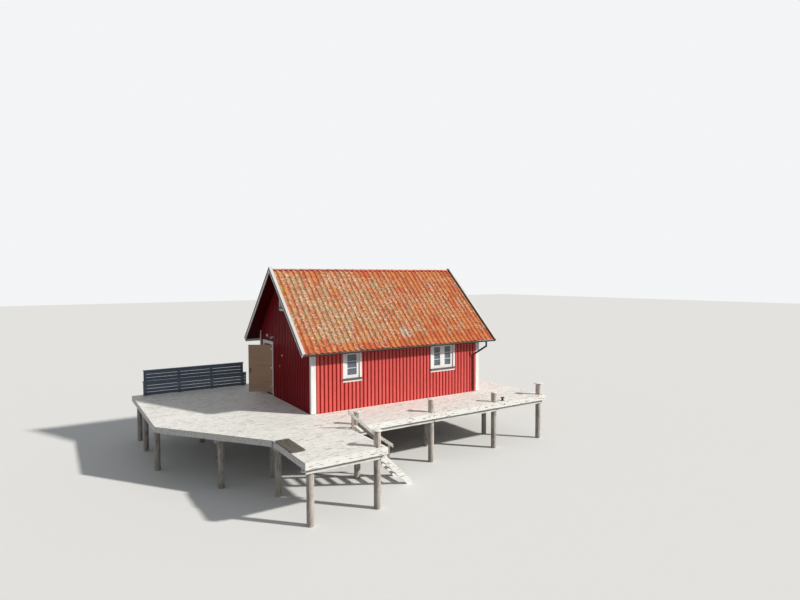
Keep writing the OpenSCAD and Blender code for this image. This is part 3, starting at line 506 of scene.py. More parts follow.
class BOATHOUSE_OT_finishes(bpy.types.Operator):
    """Gives every CAD node that still shows its material"""

    bl_idname = "boathouse.finishes"
    bl_label = "Finish Frame"

    def execute(self, context):
        chosen = {s["node"]: s["material_slot"] for s in frame["record"]["subparts"]}
        for material, nodes in (
            ("red_walls", ("front_wall", "back_wall", "water_gable_wall")),
            # The door gable's wall takes the darker red as painted shade
            ("gable_wall_painted_shade", ("door_wall_near", "door_wall_far", "door_wall_over")),
            # The roof boarding and eave boards take the near-black red as painted shade
            ("roof_under_painted_shade", ("roof_boards_front", "roof_boards_back", "eave_boards")),
            ("deck_cross", ("deck_joists",)), ("post_wood", ("handrail_posts",)),
            ("eave_paint_front_shade", ("fascias",)), ("cap_trim", ("barge_caps",)),
        ):
            chosen.update(dict.fromkeys(nodes, material))
        for name, obj in NODES.items():
            obj.data.materials.clear()
            obj.data.materials.append(MATERIALS[chosen[name]])
        return {"FINISHED"}


# Building blocks


def mesh_of(bm, name):
    """Turns a finished bmesh into a mesh."""
    mesh = bpy.data.meshes.new(name)
    bm.to_mesh(mesh)
    bm.free()
    return mesh


def copy_of(mesh):
    bm = bmesh.new()
    bm.from_mesh(mesh)
    return bm


def join(bm, part, tone=0.5, place=None):
    """Adds a finished small bmesh to a larger one, with its own tone on every vertex."""
    layer = part.verts.layers.float.new("tone")
    for vert in part.verts:
        vert[layer] = tone
    if place is not None:
        bmesh.ops.transform(part, matrix=place, verts=part.verts[:])
        if place.determinant() < 0:
            bmesh.ops.reverse_faces(part, faces=part.faces[:])
    mesh = mesh_of(part, "part")
    bm.from_mesh(mesh)
    bpy.data.meshes.remove(mesh)


def join_left(bm, part, tone, place):
    """Adds a part that was cut, if anything is left of it."""
    if part.faces:
        join(bm, part, tone, place)
    else:
        part.free()


def join_copies(bm, mesh, spots):
    """Adds a copy of a mesh for each (tone, place), and then removes it."""
    for tone, place in spots:
        join(bm, copy_of(mesh), tone, place)
    bpy.data.meshes.remove(mesh)


def chamfer(part, edges, offset, segments=1):
    bmesh.ops.bevel(
        part, geom=edges, offset=offset, segments=segments, profile=0.5, affect="EDGES", material=-1
    )


def box(lo, hi, bevel=0.0):
    """A block between two corners, with a small chamfer on its edges."""
    part = bmesh.new()
    lo, hi = Vector(lo), Vector(hi)
    size = Matrix.Diagonal((*(hi - lo), 1.0))
    bmesh.ops.create_cube(part, size=1.0, matrix=Matrix.Translation((lo + hi) / 2) @ size)
    if bevel:
        chamfer(part, part.edges[:], bevel)
    return part


def cone(sides, low, high, depth, place=Matrix()):
    """A closed round or many-sided body about Z, with its middle at the origin."""
    part = bmesh.new()
    bmesh.ops.create_cone(
        part, cap_ends=True, segments=sides, radius1=low, radius2=high, depth=depth, matrix=place
    )
    return part


def outward(part):
    bmesh.ops.recalc_face_normals(part, faces=part.faces[:])


def grow(part, edges):
    """Extrudes edges in place, and returns the new ones with their vertices."""
    grown = bmesh.ops.extrude_edge_only(part, edges=edges)["geom"]
    verts = {g for g in grown if isinstance(g, bmesh.types.BMVert)}
    return [g for g in grown if isinstance(g, bmesh.types.BMEdge) and verts.issuperset(g.verts)], verts


def circle(part, radius):
    return bmesh.ops.create_circle(part, cap_ends=False, radius=radius, segments=28)["verts"]


def turned(profile):
    """A closed body of revolution about Z from (radius, height) pairs."""
    part = bmesh.new()
    ring = circle(part, profile[0][0])
    bmesh.ops.translate(part, vec=(0, 0, profile[0][1]), verts=ring)
    edges = part.edges[:]
    bmesh.ops.contextual_create(part, geom=edges)
    for radius, height in profile[1:]:
        edges, verts = grow(part, edges)
        for vert in verts:
            flat = vert.co.xy.normalized() * max(radius, 1e-4)
            vert.co = Vector((flat.x, flat.y, height))
    bmesh.ops.contextual_create(part, geom=edges)
    outward(part)
    return part


def trim(part, point, normal):
    """Cuts a part off flat on the side that normal points to, and closes the cut."""
    cut = bmesh.ops.bisect_plane(
        part, geom=part.verts[:] + part.edges[:] + part.faces[:], dist=1e-6,
        plane_co=Vector(point), plane_no=Vector(normal), clear_outer=True,
    )
    edges = [e for e in cut["geom_cut"] if isinstance(e, bmesh.types.BMEdge)]
    if edges:
        bmesh.ops.holes_fill(part, edges=edges, sides=0)


def piece(name, bm, material, body=HOUSE, replaces=(), smooth=None):
    """Makes a bmesh an object of the model that rides on a CAD body."""
    mesh = mesh_of(bm, name)
    mesh.materials.append(MATERIALS[material])
    if smooth is not None:
        mesh.polygons.foreach_set("use_smooth", [True] * len(mesh.polygons))
        mesh.set_sharp_from_angle(angle=math.radians(smooth))
    obj = bpy.data.objects.new(name, mesh)
    bpy.context.scene.collection.objects.link(obj)
    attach(obj, body)
    if replaces:
        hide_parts(*replaces)


def solids(mesh):
    """The corner points of each of a mesh's separate solids, from left to right."""
    bm = copy_of(mesh)
    bmesh.ops.remove_doubles(bm, verts=bm.verts[:], dist=1e-5)
    left, found = set(bm.verts), []
    while left:
        stack, group = [left.pop()], []
        while stack:
            vert = stack.pop()
            group.append(vert.co.copy())
            near = {edge.other_vert(vert) for edge in vert.link_edges} & left
            left -= near
            stack.extend(near)
        found.append(group)
    bm.free()
    return sorted(found, key=lambda group: tuple(round(min(c[k] for c in group), 4) for k in range(3)))


def islands(node):
    """The boxes of a CAD node's separate solids."""
    return [
        tuple(Vector(pick(c[k] for c in group) for k in range(3)) for pick in (min, max))
        for group in solids(NODES[node].data)
    ]


# Roof


def roof_z(y, depth=0.0):
    """Height over the deck of a layer of the front slope that lies depth under the cap plane."""
    return RIDGE - (WIDTH / 2 - y) * math.tan(PITCH) - depth / math.cos(PITCH)


def slope_frame(depth, front=True):
    """X along the eave, Y up the slope and Z out of it, from the left end of the eave line."""
    y_axis = Vector((0, math.cos(PITCH), math.sin(PITCH)))
    z_axis = Vector((0, -math.sin(PITCH), math.cos(PITCH)))
    m = Matrix((Vector((1, 0, 0)), y_axis, z_axis)).transposed().to_4x4()
    m.translation = Vector((0, -EAVE, roof_z(-EAVE))) - z_axis * depth
    if not front:
        m = move(LENGTH, WIDTH, 0) @ turn(math.pi, "Z") @ m
    return AT_HOUSE @ m


# Upper face of a pantile, as (place across it, height), with the steep side of its roll on the left
TILE_CURVE = (
    (0.0, 0.02), (0.012, 0.032), (0.028, 0.041), (0.046, 0.044), (0.066, 0.04), (0.088, 0.031),
    (0.11, 0.019), (0.135, 0.008), (0.16, 0.003), (0.185, 0.004), (0.205, 0.01), (0.244, 0.018),
)
# The curve's own cover width and roll, which the sizes scale
CURVE_COVER = 0.226
CURVE_ROLL = 0.044
TILE_THICK = 0.01
# How far each row's tail stands over the row below, and the tails' run past the eave line
TILE_LIFT = 0.0115
TAIL = -0.03


def pantile(cover, length, roll):
    """One S-shaped tile, lying along Y with its tail at y = 0 and its roll over the left-hand neighbour."""
    bm = bmesh.new()
    steps = len(TILE_CURVE) - 1
    bmesh.ops.create_grid(bm, x_segments=steps, y_segments=1, size=0.5)
    for vert in bm.verts:
        across, height = TILE_CURVE[round((vert.co.x + 0.5) * steps)]
        vert.co = Vector((
            across * cover / CURVE_COVER, (vert.co.y + 0.5) * length, height * roll / CURVE_ROLL
        ))
    bmesh.ops.solidify(bm, geom=bm.faces[:], thickness=-TILE_THICK)
    outward(bm)
    return mesh_of(bm, "pantile")


def tile_spots(sizes, left, cover, place, seed):
    """Yields the tone and place of each tile in overlapping rows from the eave up, a little out of line."""
    dice = random.Random(seed)
    span = SLOPE - RIDGE_OPEN / math.cos(PITCH) - TAIL
    pitch = (span - sizes.tile_length * 0.96) / (sizes.tile_rows - 1)
    tilt = math.asin(TILE_LIFT / pitch)
    for row in range(sizes.tile_rows):
        drift = dice.uniform(-0.002, 0.002)
        for column in range(sizes.tile_columns):
            spot = move(
                left + column * cover + dice.uniform(-0.001, 0.001),
                TAIL + row * pitch + drift + dice.uniform(-0.004, 0.004),
                2 * TILE_LIFT + dice.uniform(0, 0.002),
            )
            lean = turn(-tilt + dice.uniform(-0.003, 0.003), "X")
            twist = turn(dice.uniform(-0.005, 0.005), "Z")
            yield dice.random(), place @ spot @ lean @ twist


class BOATHOUSE_OT_tiles(bpy.types.Operator):
    """Lays the pantiles of both roof slopes"""

    bl_idname = "boathouse.tiles"
    bl_label = "Lay Pantiles"

    def execute(self, context):
        sizes = context.scene.boathouse_sizes
        lo, hi = local_box("roof_tiles_front")
        left, right = lo.x + 0.003, hi.x - 0.003
        cover = (right - left - (TILE_CURVE[-1][0] - CURVE_COVER)) / sizes.tile_columns
        for side, seed in (("front", 11), ("back", 12)):
            bm = bmesh.new()
            tile = pantile(cover, sizes.tile_length, sizes.tile_roll)
            place = slope_frame(TILE_BACK, side == "front")
            join_copies(bm, tile, tile_spots(sizes, left, cover, place, seed))
            node = f"roof_tiles_{side}"
            piece(f"pantiles_{side}", bm, "roof_clay", replaces=[node], smooth=35)
        return {"FINISHED"}


# The ridge tiles' arc ends at this height over its axis, as a share of the radius
ARC_FOOT = 0.4
RIDGE_THICK = 0.012
RIDGE_LAP = 0.02


def ridge_tile(radius, length):
    """An arched tile about Z whose far end is narrower, to slip under the next."""
    part = bmesh.new()
    low = [v for v in circle(part, 1.0) if v.co.y < ARC_FOOT]
    bmesh.ops.delete(part, geom=low, context="VERTS")
    far = grow(part, part.edges[:])[1]
    for vert in part.verts:
        reach, z = (radius - RIDGE_THICK - 0.002, length) if vert in far else (radius - 0.001, 0.0)
        vert.co = Vector((vert.co.x * reach, vert.co.y * reach, z))
    outward(part)
    bmesh.ops.solidify(part, geom=part.faces[:], thickness=RIDGE_THICK)
    outward(part)
    return part


class BOATHOUSE_OT_ridge(bpy.types.Operator):
    """Sets the arched ridge tiles, each lapped under the next"""

    bl_idname = "boathouse.ridge"
    bl_label = "Set Ridge Tiles"

    def execute(self, context):
        dice = random.Random(21)
        lo, hi = local_box("ridge_tiles")
        count = round((hi.x - lo.x) / context.scene.boathouse_sizes.ridge_tile_length)
        step = (hi.x - lo.x) / count
        radius = (hi.y - lo.y) / 2
        # Lays a tile down along X with its crown up
        lie = Matrix(((0, 0, 1, 0), (1, 0, 0, 0), (0, 1, 0, 0), (0, 0, 0, 1)))
        bm = bmesh.new()
        for i in range(count):
            lap = RIDGE_LAP if i < count - 1 else 0.0
            spot = move(lo.x + i * step, WIDTH / 2, hi.z - radius + dice.uniform(-0.002, 0.0))
            join(bm, ridge_tile(radius, step + lap), dice.random(), AT_HOUSE @ spot @ lie)
        piece("ridge_half_rounds", bm, "ridge_clay", replaces=["ridge_tiles"], smooth=40)

        # Boards close the gap between the ridge tiles and the highest row; their dark red is painted shade
        # for the shadow in that gap
        x0, x1 = lo.x + 0.004, hi.x - 0.004
        bm = bmesh.new()
        for front in (True, False):
            board = box((x0, SLOPE - 0.26, -0.094), (x1, SLOPE - 0.075, -0.084))
            join(bm, board, place=slope_frame(0.0, front))
        for side in (-1, 1):
            y = WIDTH / 2 + side * (radius * 0.82)
            join(bm, box((x0, y - 0.006, hi.z - 0.155), (x1, y + 0.006, hi.z - 0.06)), place=AT_HOUSE)
        piece("ridge_battens", bm, "ridge_gap_painted_shade")
        return {"FINISHED"}


class BOATHOUSE_OT_verges(bpy.types.Operator):
    """Lines the verges with dark strips, beside the tiles and under the cap boards, as painted shade along
    the caps
    """

    bl_idname = "boathouse.verges"
    bl_label = "Line Verges"

    def execute(self, context):
        first = islands("barge_caps")[0]
        left = local_box("barge_caps")[0].x
        inner = left + first[1].x - first[0].x

        def other_end(x0, x1, a, b):
            return LENGTH - x1, LENGTH - x0, a, b

        # Each strip as its span in x and its span in depth below the cap plane
        same = [(left + 0.0008, left + 0.0078, 0.0226, 0.06), (inner, inner + 0.006, 0.003, 0.062)]
        same += [other_end(*strip) for strip in same]
        # Painted shade on the side of each cap away from the sun: the door gable's cap is edged with dark
        # sheet outside, the other gable's inside
        outer, inside = (left - 0.0022, left - 0.0002, -0.0015), (inner - 0.034, inner, -0.0015, 0.0)
        own = {True: [(*outer, 0.088), other_end(*inside)], False: [other_end(*outer, 0.022), inside]}
        bm = bmesh.new()
        for front in (True, False):
            for x0, x1, a, b in same + own[front]:
                part = box((x0, -0.035, -b), (x1, SLOPE + 0.08, -a))
                trim(part, (0, SLOPE - 0.004, 0), (0, math.cos(PITCH), -math.sin(PITCH)))
                join(bm, part, place=slope_frame(0.0, front))
        piece("verge_strips", bm, "verge_painted_shade")
        return {"FINISHED"}


# Walls


BOARD_FOOT = -0.056
BOARD_CHAMFER = 0.006
# Where the boards stop beside the corner boards, on long walls and on gables
LONG_END, GABLE_END = 0.19, 0.131
# How far below the cap plane the gable boards end
UNDER_ROOF = 0.123
# Where each wall stands that is drawn from its left end with its face towards -Y
SIDEWAYS = move(0, WIDTH, 0) @ turn(-QUARTER, "Z")
WALL_PLACES = {
    "front": AT_HOUSE,
    "back": AT_HOUSE @ move(0, WIDTH, 0) @ Matrix.Diagonal((1, -1, 1, 1)),
    "water_gable": AT_HOUSE @ move(LENGTH, 0, 0) @ Matrix.Diagonal((-1, 1, 1, 1)) @ SIDEWAYS,
    "door_gable": AT_HOUSE @ SIDEWAYS,
}


def board_spans(x0, x1, z0, z1, holes):
    """Splits a standing board into the pieces that miss the holes, as (x0, x1, z0, z1)."""
    cuts = sorted({x0, x1, *(min(max(x, x0), x1) for h in holes for x in h[:2])})
    spans = []
    for a, b in zip(cuts, cuts[1:]):
        if b - a < 0.006:
            continue
        at = z0
        blocked = sorted((h[2], h[3]) for h in holes if h[0] < b - 1e-6 and h[1] > a + 1e-6)
        for low, high in blocked + [(z1, z1)]:
            if low > at + 0.01:
                spans.append((a, b, at, low))
            at = max(at, high)
    return spans


def clad(bm, sizes, place, x0, x1, top_of, holes, seed):
    """Nails raised boards on a wall that is drawn with its face towards -Y."""
    dice = random.Random(seed)
    count = max(1, round((x1 - x0) / sizes.board_pitch))
    pitch = (x1 - x0) / count
    half = sizes.board_width / 2
    for i in range(count):
        centre = x0 + (i + 0.5) * pitch
        a, b = centre - half, centre + half
        peak = max(top_of(a), top_of(b), top_of(min(max(WIDTH / 2, a), b)))
        tone = dice.random()
        for xa, xb, za, zb in board_spans(a, b, BOARD_FOOT, peak, holes):
            part = box((xa, WALL_FACE - sizes.board_rise, za), (xb, WALL_FACE + 0.001, zb))
            # The two standing edges of the board's outer face
            upright = [
                e for e in part.edges
                if abs(e.verts[0].co.z - e.verts[1].co.z) > 0.01 and e.verts[0].co.y < WALL_FACE - 0.01
            ]
            chamfer(part, upright, BOARD_CHAMFER, 2)
            if top_of(a) != top_of(b) and zb > min(top_of(a), top_of(b)):
                for side in (-1, 1):
                    point = (WIDTH / 2, 0, top_of(WIDTH / 2))
                    trim(part, point, (side * math.sin(PITCH), 0, math.cos(PITCH)))
            join_left(bm, part, tone, place)


def window_rects(side):
    """Rectangles, on a wall drawn with its face towards -Y, that its casings, sills and sashes fill."""
    found = []
    for node in ("window_casings", "window_sills", "window_sashes"):
        for lo, hi in islands(node):
            a, b = lo - ORIGIN, hi - ORIGIN
            middle = (a + b) / 2
            near = {
                "front": middle.y < 0.2, "back": middle.y > WIDTH - 0.2,
                "door_gable": middle.x < 0.2, "water_gable": middle.x > LENGTH - 0.2,
            }
            if near[side]:
                span = (WIDTH - b.y, WIDTH - a.y) if "gable" in side else (a.x, b.x)
                found.append((span[0] - 0.002, span[1] + 0.002, a.z - 0.002, b.z + 0.002))
    return found


class BOATHOUSE_OT_boards(bpy.types.Operator):
    """Clads the four walls with raised lock boards"""

    bl_idname = "boathouse.boards"
    bl_label = "Clad Walls"

    def execute(self, context):
        wall_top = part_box("front_wall")[1].z - DECK_TOP - 0.002
        lo, hi = local_box("door_casing")
        doorway = (WIDTH - hi.y - 0.001, WIDTH - lo.y + 0.001, BOARD_FOOT, hi.z + 0.001)

        def gable_top(x):
            return roof_z(min(x, WIDTH - x), UNDER_ROOF)

        long_wall = (LONG_END, LENGTH - LONG_END, lambda x: wall_top)
        gable_wall = (GABLE_END, WIDTH - GABLE_END, gable_top)
        for seed, name, run, material, holes in (
            (31, "front", long_wall, "red_boards", []),
            (32, "back", long_wall, "red_boards", []),
            (33, "water_gable", gable_wall, "red_boards", []),
            # The door gable's boards take the darker red as painted shade
            (34, "door_gable", gable_wall, "red_gable", [doorway]),
        ):
            bm = bmesh.new()
            holes = window_rects(name) + holes
            clad(bm, context.scene.boathouse_sizes, WALL_PLACES[name], *run, holes, seed)
            piece(f"boards_{name}", bm, material, smooth=30)
        return {"FINISHED"}


# Half the bars' height, and how far their back and front lie from the middle of the pane
BAR_HALF = 0.011
BAR_BACK, BAR_FRONT = 0.0022, 0.018
# Panes higher than this have two bars, lower ones have one
TALL_PANE = 0.6


class BOATHOUSE_OT_window_bars(bpy.types.Operator):
    """Adds the glazing bars that part each sash into two or three panes"""

    bl_idname = "boathouse.window_bars"
    bl_label = "Add Window Bars"

    def execute(self, context):
        bm = bmesh.new()
        for lo, hi in islands("window_glass"):
            size = hi - lo
            # The axis through the pane
            k = 1 if size.x > size.y else 0
            middle = (lo[k] + hi[k]) / 2
            rows = 3 if size.z > TALL_PANE else 2
            for i in range(1, rows):
                z = lo.z + size.z * i / rows
                for side in (-1, 1):
                    a, b = lo.copy(), hi.copy()
                    a[k], b[k] = sorted((middle + side * BAR_BACK, middle + side * BAR_FRONT))
                    a.z, b.z = z - BAR_HALF, z + BAR_HALF
                    join(bm, box(a, b, 0.003), 0.4 + 0.1 * i)
        piece("glazing_bars", bm, "white_along")
        return {"FINISHED"}


# Door


# The closed leaf and its hinge line in the house's own frame, and the angle at which the door stands open
LEAF_LO, LEAF_HI = (-0.005, 4.05, 0.14), (0.04, 5.03, 2.13)
PIN = Vector((-0.012, 4.0475, 0.0))
DOOR_OPEN = math.radians(57)
# Number and thickness of the level boards on each face of the leaf
DOOR_BOARDS, DOOR_SKIN = 17, 0.007
# Where the hinges begin, and their height and radius
HINGE_PLACES = (0.34, 1.135, 1.93)
HINGE_TALL, HINGE_RADIUS = 0.048, 0.007
# The levers' height and their distance from the leaf's free edge
LEVER_HEIGHT, LEVER_IN = 1.08, 0.062


class BOATHOUSE_OT_door(bpy.types.Operator):
    """Builds the boarded door leaf with its hinge leaves and lever handles"""

    bl_idname = "boathouse.door"
    bl_label = "Hang Door"

    def execute(self, context):
        (x0, y0, z0), (x1, y1, z1) = LEAF_LO, LEAF_HI
        place = AT_HOUSE @ Matrix.Translation(PIN) @ turn(DOOR_OPEN, "Z") @ Matrix.Translation(-PIN)
        dice = random.Random(41)
        bm = bmesh.new()
        core = box((x0 + 0.006, y0 + 0.001, z0 + 0.001), (x1 - 0.006, y1 - 0.001, z1 - 0.001), 0.001)
        join(bm, core, place=place)
        step = (z1 - z0) / DOOR_BOARDS
        for i in range(DOOR_BOARDS):
            for a, b in ((x0, x0 + DOOR_SKIN), (x1 - DOOR_SKIN, x1)):
                board = box((a, y0, z0 + i * step), (b, y1, z0 + (i + 1) * step), 0.0028)
                join(bm, board, dice.uniform(0.3, 0.7), place)
        piece("door_boards", bm, "door_paint", DOOR, ["door_leaf"])

        bm = bmesh.new()
        for z in HINGE_PLACES:
            spot = move(PIN.x, PIN.y, z + HINGE_TALL / 2)
            join(bm, cone(20, HINGE_RADIUS, HINGE_RADIUS, HINGE_TALL, spot), place=place)
            flap = box((x0 - 0.003, PIN.y + 0.004, z), (x0, y0 + 0.034, z + HINGE_TALL), 0.0006)
            join(bm, flap, place=place)
        piece("hinge_leaves", bm, "hinge_steel", DOOR, smooth=40)

        bm = bmesh.new()
        for face, side in ((x1 + 0.0002, 1), (x0 - 0.0002, -1)):
            spot = move(face, y1 - LEVER_IN, LEVER_HEIGHT)
            lever_handle(bm, place @ spot @ Matrix.Diagonal((side, 1, 1, 1)))
        piece("lever_handles", bm, "handle_metal", DOOR, ["door_handles"], smooth=40)
        return {"FINISHED"}


def lever_handle(bm, place):
    """A plate, a spindle neck, a lever that points to the hinge side and a keyhole, standing out along +X."""
    stand = turn(QUARTER, "Y")
    for part in (
        box((0.0, -0.021, -0.149), (0.005, 0.021, 0.079), 0.002),
        cone(20, 0.012, 0.009, 0.044, move(0.026, 0, 0) @ stand),
        box((0.044, -0.119, -0.0085), (0.0625, 0.009, 0.0085), 0.0042),
        cone(16, 0.011, 0.01, 0.006, move(0.0065, 0, -0.09) @ stand),
    ):
        join(bm, part, place=place)


# Decks


def pile_spots():
    """Centre and radius of each pile that comes up through the decking."""
    return [((lo.xy + hi.xy) / 2 - ORIGIN.xy, (hi.x - lo.x) / 2) for lo, hi in islands("bollard_piles")]


def corners(node):
    lo, hi = local_box(node)
    return [(lo.x, lo.y), (hi.x, lo.y), (hi.x, hi.y), (lo.x, hi.y)]


def deck_outlines():
    """The four decked areas in the house's own frame."""
    areas = {node: corners(node) for node in ("jetty_planks", "end_planks", "landing_planks")}
    t_lo, t_hi = local_box("terrace_planks")
    landing_left = areas["landing_planks"][0][0]
    areas["terrace_planks"] = [
        (t_lo.x, t_hi.y), (t_lo.x, 1.4), (landing_left, t_lo.y), (t_hi.x, t_lo.y), (t_hi.x, t_hi.y),
    ]
    return areas


def sides(outline):
    """Each side of an outline as its two corners and a vector that points out of it."""
    pairs = list(zip(outline, outline[1:] + outline[:1]))
    way = 1 if sum(xa * yb - xb * ya for (xa, ya), (xb, yb) in pairs) > 0 else -1
    return [(a, b, Vector(((b[1] - a[1]) * way, (a[0] - b[0]) * way, 0))) for a, b in pairs]


def crossings(outline, y):
    """The x values where a level line crosses an outline."""
    found = []
    for (xa, ya), (xb, yb), _ in sides(outline):
        if abs(ya - yb) > 1e-9 and min(ya, yb) - 1e-6 <= y <= max(ya, yb) + 1e-6:
            found.append(xa + (xb - xa) * (y - ya) / (yb - ya))
    return found


def slant(part, outline):
    """Cuts a plank off along the outline's slanting sides."""
    for (xa, ya), (xb, yb), out in sides(outline):
        if abs(xa - xb) > 0.01 and abs(ya - yb) > 0.01:
            if part.verts and max((v.co - Vector((xa, ya, 0))).dot(out) for v in part.verts) > 1e-6:
                trim(part, (xa, ya, 0), out)


def within(outline, x, y, margin):
    spot = Vector((x, y, 0))
    return all((spot - Vector((*a, 0))).dot(out.normalized()) <= -margin for a, _, out in sides(outline))


# The planks' gap to the piles, sideways and along the plank, and the shortest stretch that is laid
PILE_GAP, PILE_END_GAP = 0.004, 0.006
STUB = 0.02


def clear_of_piles(xa, xb, y0, y1, piles):
    """The stretches of a plank that are left beside the piles."""
    spans = [(xa, xb)]
    for centre, radius in piles:
        off, reach = max(0.0, y0 - centre.y, centre.y - y1), radius + PILE_GAP
        if off >= reach:
            continue
        half = math.sqrt(reach ** 2 - off * off) + PILE_END_GAP
        low, high = centre.x - half, centre.x + half
        cut = []
        for a, b in spans:
            if b < low or a > high:
                cut.append((a, b))
                continue
            if low > a + STUB:
                cut.append((a, low))
            if high < b - STUB:
                cut.append((high, b))
        spans = cut
    return spans


def joists_under(outline):
    """The joists that run below one decked area, as x values."""
    (lo_x, hi_x), (lo_y, hi_y) = ((min(line), max(line)) for line in zip(*outline))
    found = set()
    for lo, hi in islands("deck_joists"):
        a, b = lo - ORIGIN, hi - ORIGIN
        middle = (a.x + b.x) / 2
        if lo_x < middle < hi_x and min(b.y, hi_y) - max(a.y, lo_y) > 0.5:
            found.add(round(middle, 3))
    return sorted(found)


# Shortest and longest plank, the row's rest that needs no more joints, and the joints' distance from its ends
PLANK_MIN, PLANK_MAX = 2.2, 4.6
PLANK_REST = 4.2
JOINT_IN = 0.9


def plank_ends(dice, x0, x1, joists):
    """Where the planks of one row begin and end, with joints over joists picked at random."""
    ends = [x0]
    inner = [x for x in joists if x0 + JOINT_IN < x < x1 - JOINT_IN]
    while x1 - ends[-1] > PLANK_REST:
        choices = [x for x in inner if PLANK_MIN < x - ends[-1] < PLANK_MAX]
        if not choices:
            break
        ends.append(dice.choice(choices))
    return ends + [x1]


# The nails' distance from a plank's sides and ends, and from the outline
NAIL_SIDE, NAIL_END, NAIL_RIM = 0.025, 0.03, 0.02


def lay_planks(bm, nails, sizes, outline, thickness, seed):
    """Lays planks along X inside a convex outline, with staggered ends over the joists and nails in pairs."""
    dice = random.Random(seed)
    joists = joists_under(outline)
    y_low, y_high = min(p[1] for p in outline), max(p[1] for p in outline)
    count = round((y_high - y_low) / sizes.plank_width)
    pitch = (y_high - y_low) / count
    piles = pile_spots()
    for row in range(count):
        y0 = y_low + row * pitch + sizes.plank_gap / 2
        y1 = y_low + (row + 1) * pitch - sizes.plank_gap / 2
        reach = [x for y in (y0, y1) for x in crossings(outline, y)]
        if len(reach) < 2:
            continue
        ends = plank_ends(dice, min(reach), max(reach), joists)
        for a, b in zip(ends, ends[1:]):
            tone = dice.random()
            top = dice.uniform(-0.0015, 0.0)
            for xa, xb in clear_of_piles(a + 0.001, b - 0.001, y0, y1, piles):
                part = box((xa, y0, -thickness), (xb, y1, top), 0.003)
                slant(part, outline)
                join_left(bm, part, tone, AT_HOUSE)
                for x in joists:
                    for y in (y0 + NAIL_SIDE, y1 - NAIL_SIDE):
                        if xa + NAIL_END < x < xb - NAIL_END and within(outline, x, y, NAIL_RIM):
                            nails.append((x + dice.uniform(-0.004, 0.004), y, top))


class BOATHOUSE_OT_decking(bpy.types.Operator):
    """Lays the deck planks and drives their nails"""

    bl_idname = "boathouse.decking"
    bl_label = "Lay Decking"

    def execute(self, context):
        nails = []
        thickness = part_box("jetty_planks")[1].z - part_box("jetty_planks")[0].z
        for number, (node, outline) in enumerate(deck_outlines().items()):
            bm = bmesh.new()
            lay_planks(bm, nails, context.scene.boathouse_sizes, outline, thickness, seed=51 + number)
            piece(node.replace("planks", "boards"), bm, "deck_wood", replaces=[node])
        bm = bmesh.new()
        head = mesh_of(cone(6, 0.0045, 0.0035, 0.002), "nail")
        join_copies(bm, head, ((0.5, AT_HOUSE @ move(x, y, z + 0.0002)) for x, y, z in nails))
        piece("deck_nails", bm, "nail_steel")
        return {"FINISHED"}


# Width of a floorboard, and how far from the walls its two lengths may meet
FLOOR_BOARD, FLOOR_JOINT_IN = 0.12, 2.5


class BOATHOUSE_OT_floor(bpy.types.Operator):
    """Lays the floorboards of the room"""

    bl_idname = "boathouse.floor"
    bl_label = "Lay Floorboards"

    def execute(self, context):
        lo, hi = local_box("floor_boards")
        dice = random.Random(61)
        bm = bmesh.new()
        count = round((hi.y - lo.y) / FLOOR_BOARD)
        step = (hi.y - lo.y) / count
        for i in range(count):
            middle = dice.uniform(lo.x + FLOOR_JOINT_IN, hi.x - FLOOR_JOINT_IN)
            for a, b in ((lo.x, middle), (middle, hi.x)):
                part = box((a, lo.y + i * step, lo.z), (b, lo.y + (i + 1) * step, hi.z), 0.0012)
                join(bm, part, dice.random(), AT_HOUSE)
        piece("room_floor", bm, "floor_wood", replaces=["floor_boards"])
        return {"FINISHED"}


# Width of a fence board, and half the gaps between fence boards and between a tread's planks
FENCE_BOARD = 0.135
FENCE_GAP, TREAD_GAP = 0.005, 0.004


class BOATHOUSE_OT_fence(bpy.types.Operator):
    """Splits the wind fence's two tiers into separate level boards"""

    bl_idname = "boathouse.fence"
    bl_label = "Board Fence"

    def execute(self, context):
        dice = random.Random(71)
        bm = bmesh.new()
        for lo, hi in islands("fence_boards"):
            size = hi - lo
            # The short upright pieces stay whole
            count, gap = (max(2, round(size.z / FENCE_BOARD)), FENCE_GAP) if size.x >= 1.0 else (1, 0.0)
            step = size.z / count
            for i in range(count):
                a = (lo.x, lo.y, lo.z + i * step + gap)
                b = (hi.x, hi.y, lo.z + (i + 1) * step - gap)
                join(bm, box(a, b, 0.003), dice.random())
        piece("fence_rails", bm, "fence_wood", replaces=["fence_boards"])
        return {"FINISHED"}


class BOATHOUSE_OT_treads(bpy.types.Operator):
    """Makes each stair tread of two planks"""

    bl_idname = "boathouse.treads"
    bl_label = "Plank Treads"

    def execute(self, context):
        dice = random.Random(81)
        bm = bmesh.new()
        for lo, hi in islands("stair_treads"):
            middle = (lo.x + hi.x) / 2
            for a, b in ((lo, (middle - TREAD_GAP, hi.y, hi.z)), ((middle + TREAD_GAP, lo.y, lo.z), hi)):
                join(bm, box(a, b, 0.004), dice.random())
        piece("tread_planks", bm, "deck_cross", replaces=["stair_treads"])
        return {"FINISHED"}


